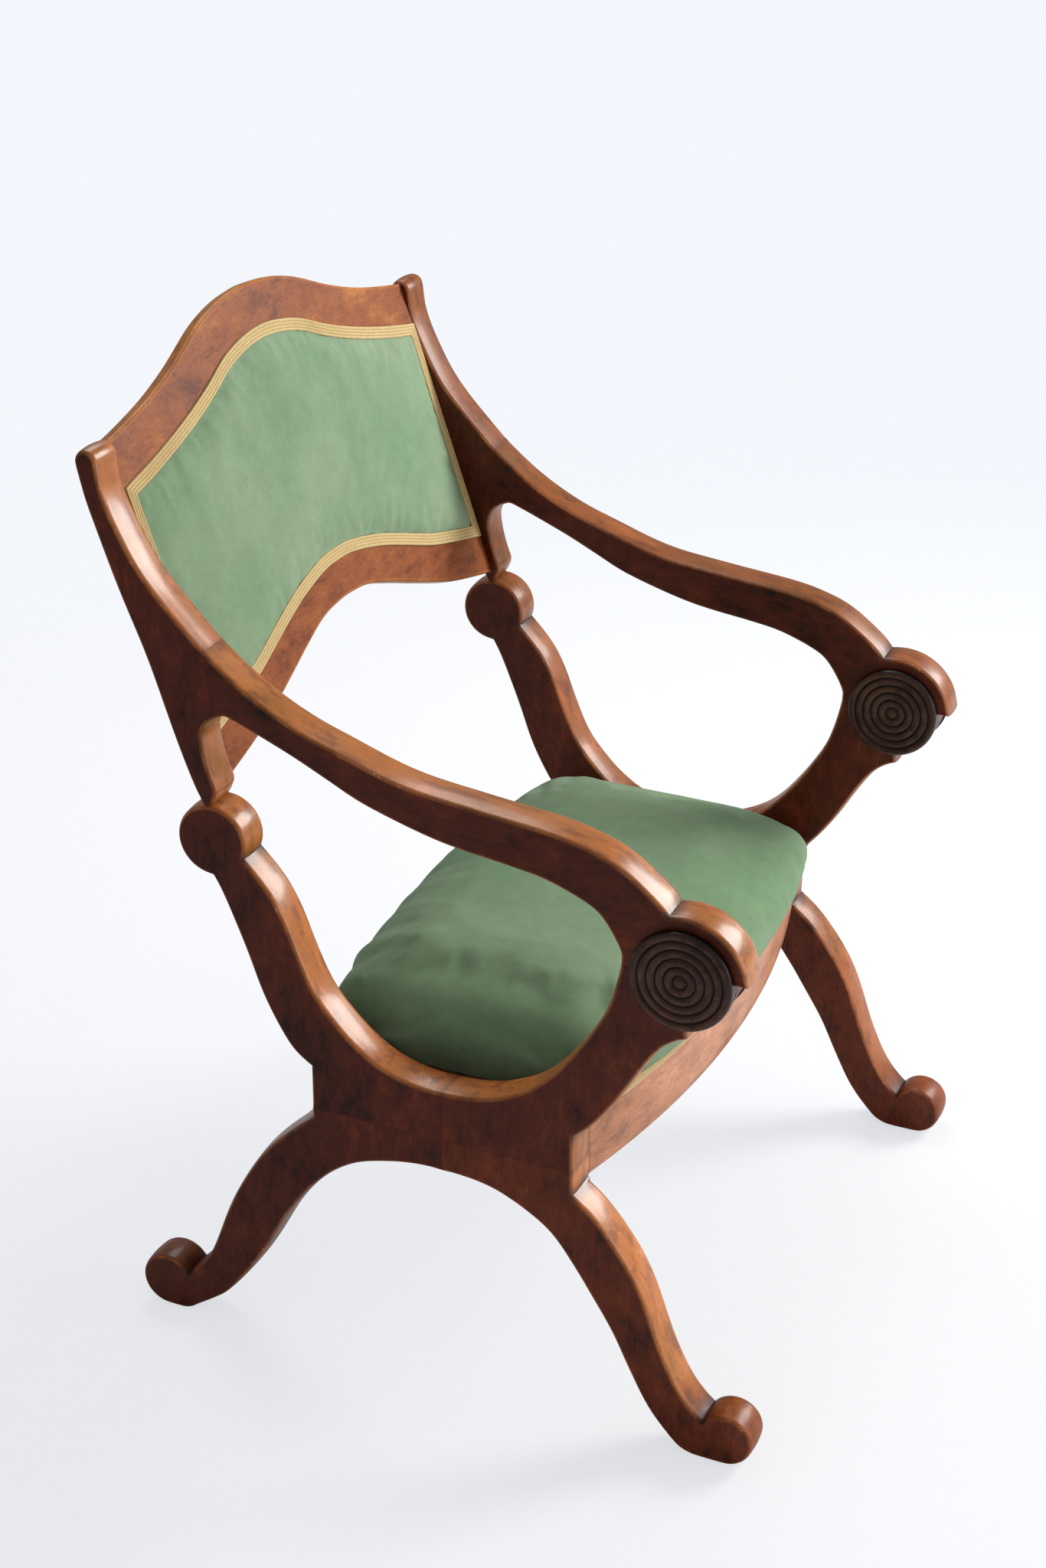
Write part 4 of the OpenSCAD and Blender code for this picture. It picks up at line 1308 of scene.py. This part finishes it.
def make_stage():
    made = bmesh.new()
    bmesh.ops.create_grid(made, x_segments=1, y_segments=1, size=8)
    floor = built(made, "floor")
    material = bpy.data.materials.new("pale_floor")
    tree = cleared_tree(material)
    place = new_node(tree, "ShaderNodeTexCoord").outputs["Object"]
    away = after("ShaderNodeVectorMath", {0: place}, operation="LENGTH").outputs["Value"]
    grain = noise_value(place, (1.5, 9, 1))
    paint = mixed(grain, (0.72, 0.725, 0.74), (0.76, 0.765, 0.775))
    diffuse = after("ShaderNodeBsdfDiffuse", {"Color": paint})
    seen_paint = after("ShaderNodeBsdfDiffuse", {"Color": mixed(0.6, paint, (0, 0, 0))})
    glow = new_node(tree, "ShaderNodeEmission", {"Color": (0.94, 0.96, 1), "Strength": 0.7})
    lit = after("ShaderNodeAddShader", {0: seen_paint.outputs[0], 1: glow.outputs[0]})
    distant = new_node(tree, "ShaderNodeEmission", {"Color": (0.9, 0.93, 0.98), "Strength": 1.0})
    shown = after("ShaderNodeMixShader", {0: steps(away, 0.9, 2.6), 1: lit.outputs[0], 2: distant.outputs[0]})
    seen_and_lit(tree, "ShaderNodeOutputMaterial", shown, diffuse)
    coloured(floor, material)

    world = bpy.data.worlds.new("studio")
    bpy.context.scene.world = world
    tree = cleared_tree(world)
    soft = new_node(tree, "ShaderNodeBackground", {"Color": (1, 0.97, 0.94), "Strength": 0.32})
    pale = new_node(tree, "ShaderNodeBackground", {"Color": (0.9, 0.93, 0.98), "Strength": 1.0})
    seen_and_lit(tree, "ShaderNodeOutputWorld", pale, soft)


def soft_lamp(name, place, target, size, power, colour):
    data = bpy.data.lights.new(name, "AREA")
    data.shape = "RECTANGLE"
    data.size, data.size_y = size
    data.energy = power
    data.color = colour
    lamp = linked(name, data)
    lamp.location = place
    lamp.rotation_euler = (Vector(target) - Vector(place)).to_track_quat("-Z", "Y").to_euler()


def make_lights():
    soft_lamp("window", (2.2, -1.9, 1.9), (0, 0, 0.45), (1.3, 1.5), 106, (1, 0.98, 0.95))
    soft_lamp("front", (0.5, -2.6, 0.8), (0, 0, 0.4), (1.6, 1.2), 17, (1, 0.96, 0.95))
    soft_lamp("sky", (1.2, 0.9, 2.5), (0, 0, 0.4), (1.2, 1.2), 20, (0.95, 0.98, 1))


def main():
    place_camera()
    # How the grain of the boards is turned
    level, along_y, upright = (0, 0, 0), (0, 0, math.pi / 2), (0, -math.pi / 2, 0)
    make_side_boards({
        "arm": polished_wood("mahogany_arm", along_y, (0.3, 0.1, 0)),
        "back_post": polished_wood("mahogany_post", upright, (0.1, 0.7, 0), rim_share=0.7),
        "front_upright": polished_wood("mahogany_front_upright", upright, (0.5, 0.2, 0)),
        "rear_upright": polished_wood("mahogany_rear_upright", upright, (0.9, 0.4, 0)),
        "front_leg": polished_wood("mahogany_front_leg", upright, (0.2, 0.9, 0), FRONT_LEG_WOOD),
        "rear_leg": polished_wood("mahogany_rear_leg", upright, (0.6, 0.5, 0), rim_share=0.3),
    })
    make_rails(polished_wood("mahogany_back_rail_and_sheen", level, colours=BACK_RAIL_WOOD_AND_SHEEN, rim_share=0.5,
                             wax=(0.05, 0.3), shine=0.12),
               polished_wood("mahogany_seat_rail_and_sheen", level, (0.4, 0.3, 0), SEAT_RAIL_WOOD_AND_SHEEN, rim_share=0.4,
                             wax=(0.9, 0.2), shine=0.45))
    make_bosses(boss_wood())
    make_seat_cushion(woven("green_seat_cloth", GREEN_THREADS, (0.12, 0.235, 0.115), (0.17, 0.285, 0.15), 0.1,
                            painted_shade_colour=(0.028, 0.036, 0.02), Sheen_Weight=0.12, Sheen_Roughness=0.5))
    back_green = woven("green_back_cloth", GREEN_THREADS, (0.145, 0.265, 0.142), (0.205, 0.325, 0.185), 0.13,
                       turn=(math.atan2(BACK_UP.z, BACK_UP.y), 0, 0), Sheen_Weight=0.2, Sheen_Roughness=0.5)
    make_back_pad("back_front_pad", "back_front_cover", "back_front_gimp", 1, 0.0, 7, back_green)
    make_back_pad("back_rear_pad", "back_rear_cover", "back_rear_gimp", -1, 14 * MM, 11, back_green)
    gold = braid()
    make_back_braid(gold)
    make_seat_braid(gold)

    hidden = {
        plain_wood("planed_beech", BEECH): ["right_seat_batten", "left_seat_batten", "seat_corner_blocks",
                                            "right_back_batten", "left_back_batten"],
        plain_wood("dowel_beech", DOWEL_BEECH): ["frame_dowels", "seat_dowels", "arm_dowels", "rail_dowels"],
        woven("jute_webbing", JUTE_THREADS, (0.36, 0.26, 0.14), (0.5, 0.38, 0.22), 0.1, twill=0.0,
              depth=0.8 * MM): ["seat_webbing", "back_canvas"],
        woven("black_lining", LINING_THREADS, (0.012, 0.012, 0.012), (0.03, 0.03, 0.03), 0.02,
              twill=0.0): ["seat_bottom_cloth"],
        steel(): ["right_pivot_pin", "left_pivot_pin"],
    }
    for look, names in hidden.items():
        for name in names:
            coloured(nodes[name], look)
    make_stage()
    make_lights()
    bpy.context.scene.view_settings.view_transform = "Standard"


main()
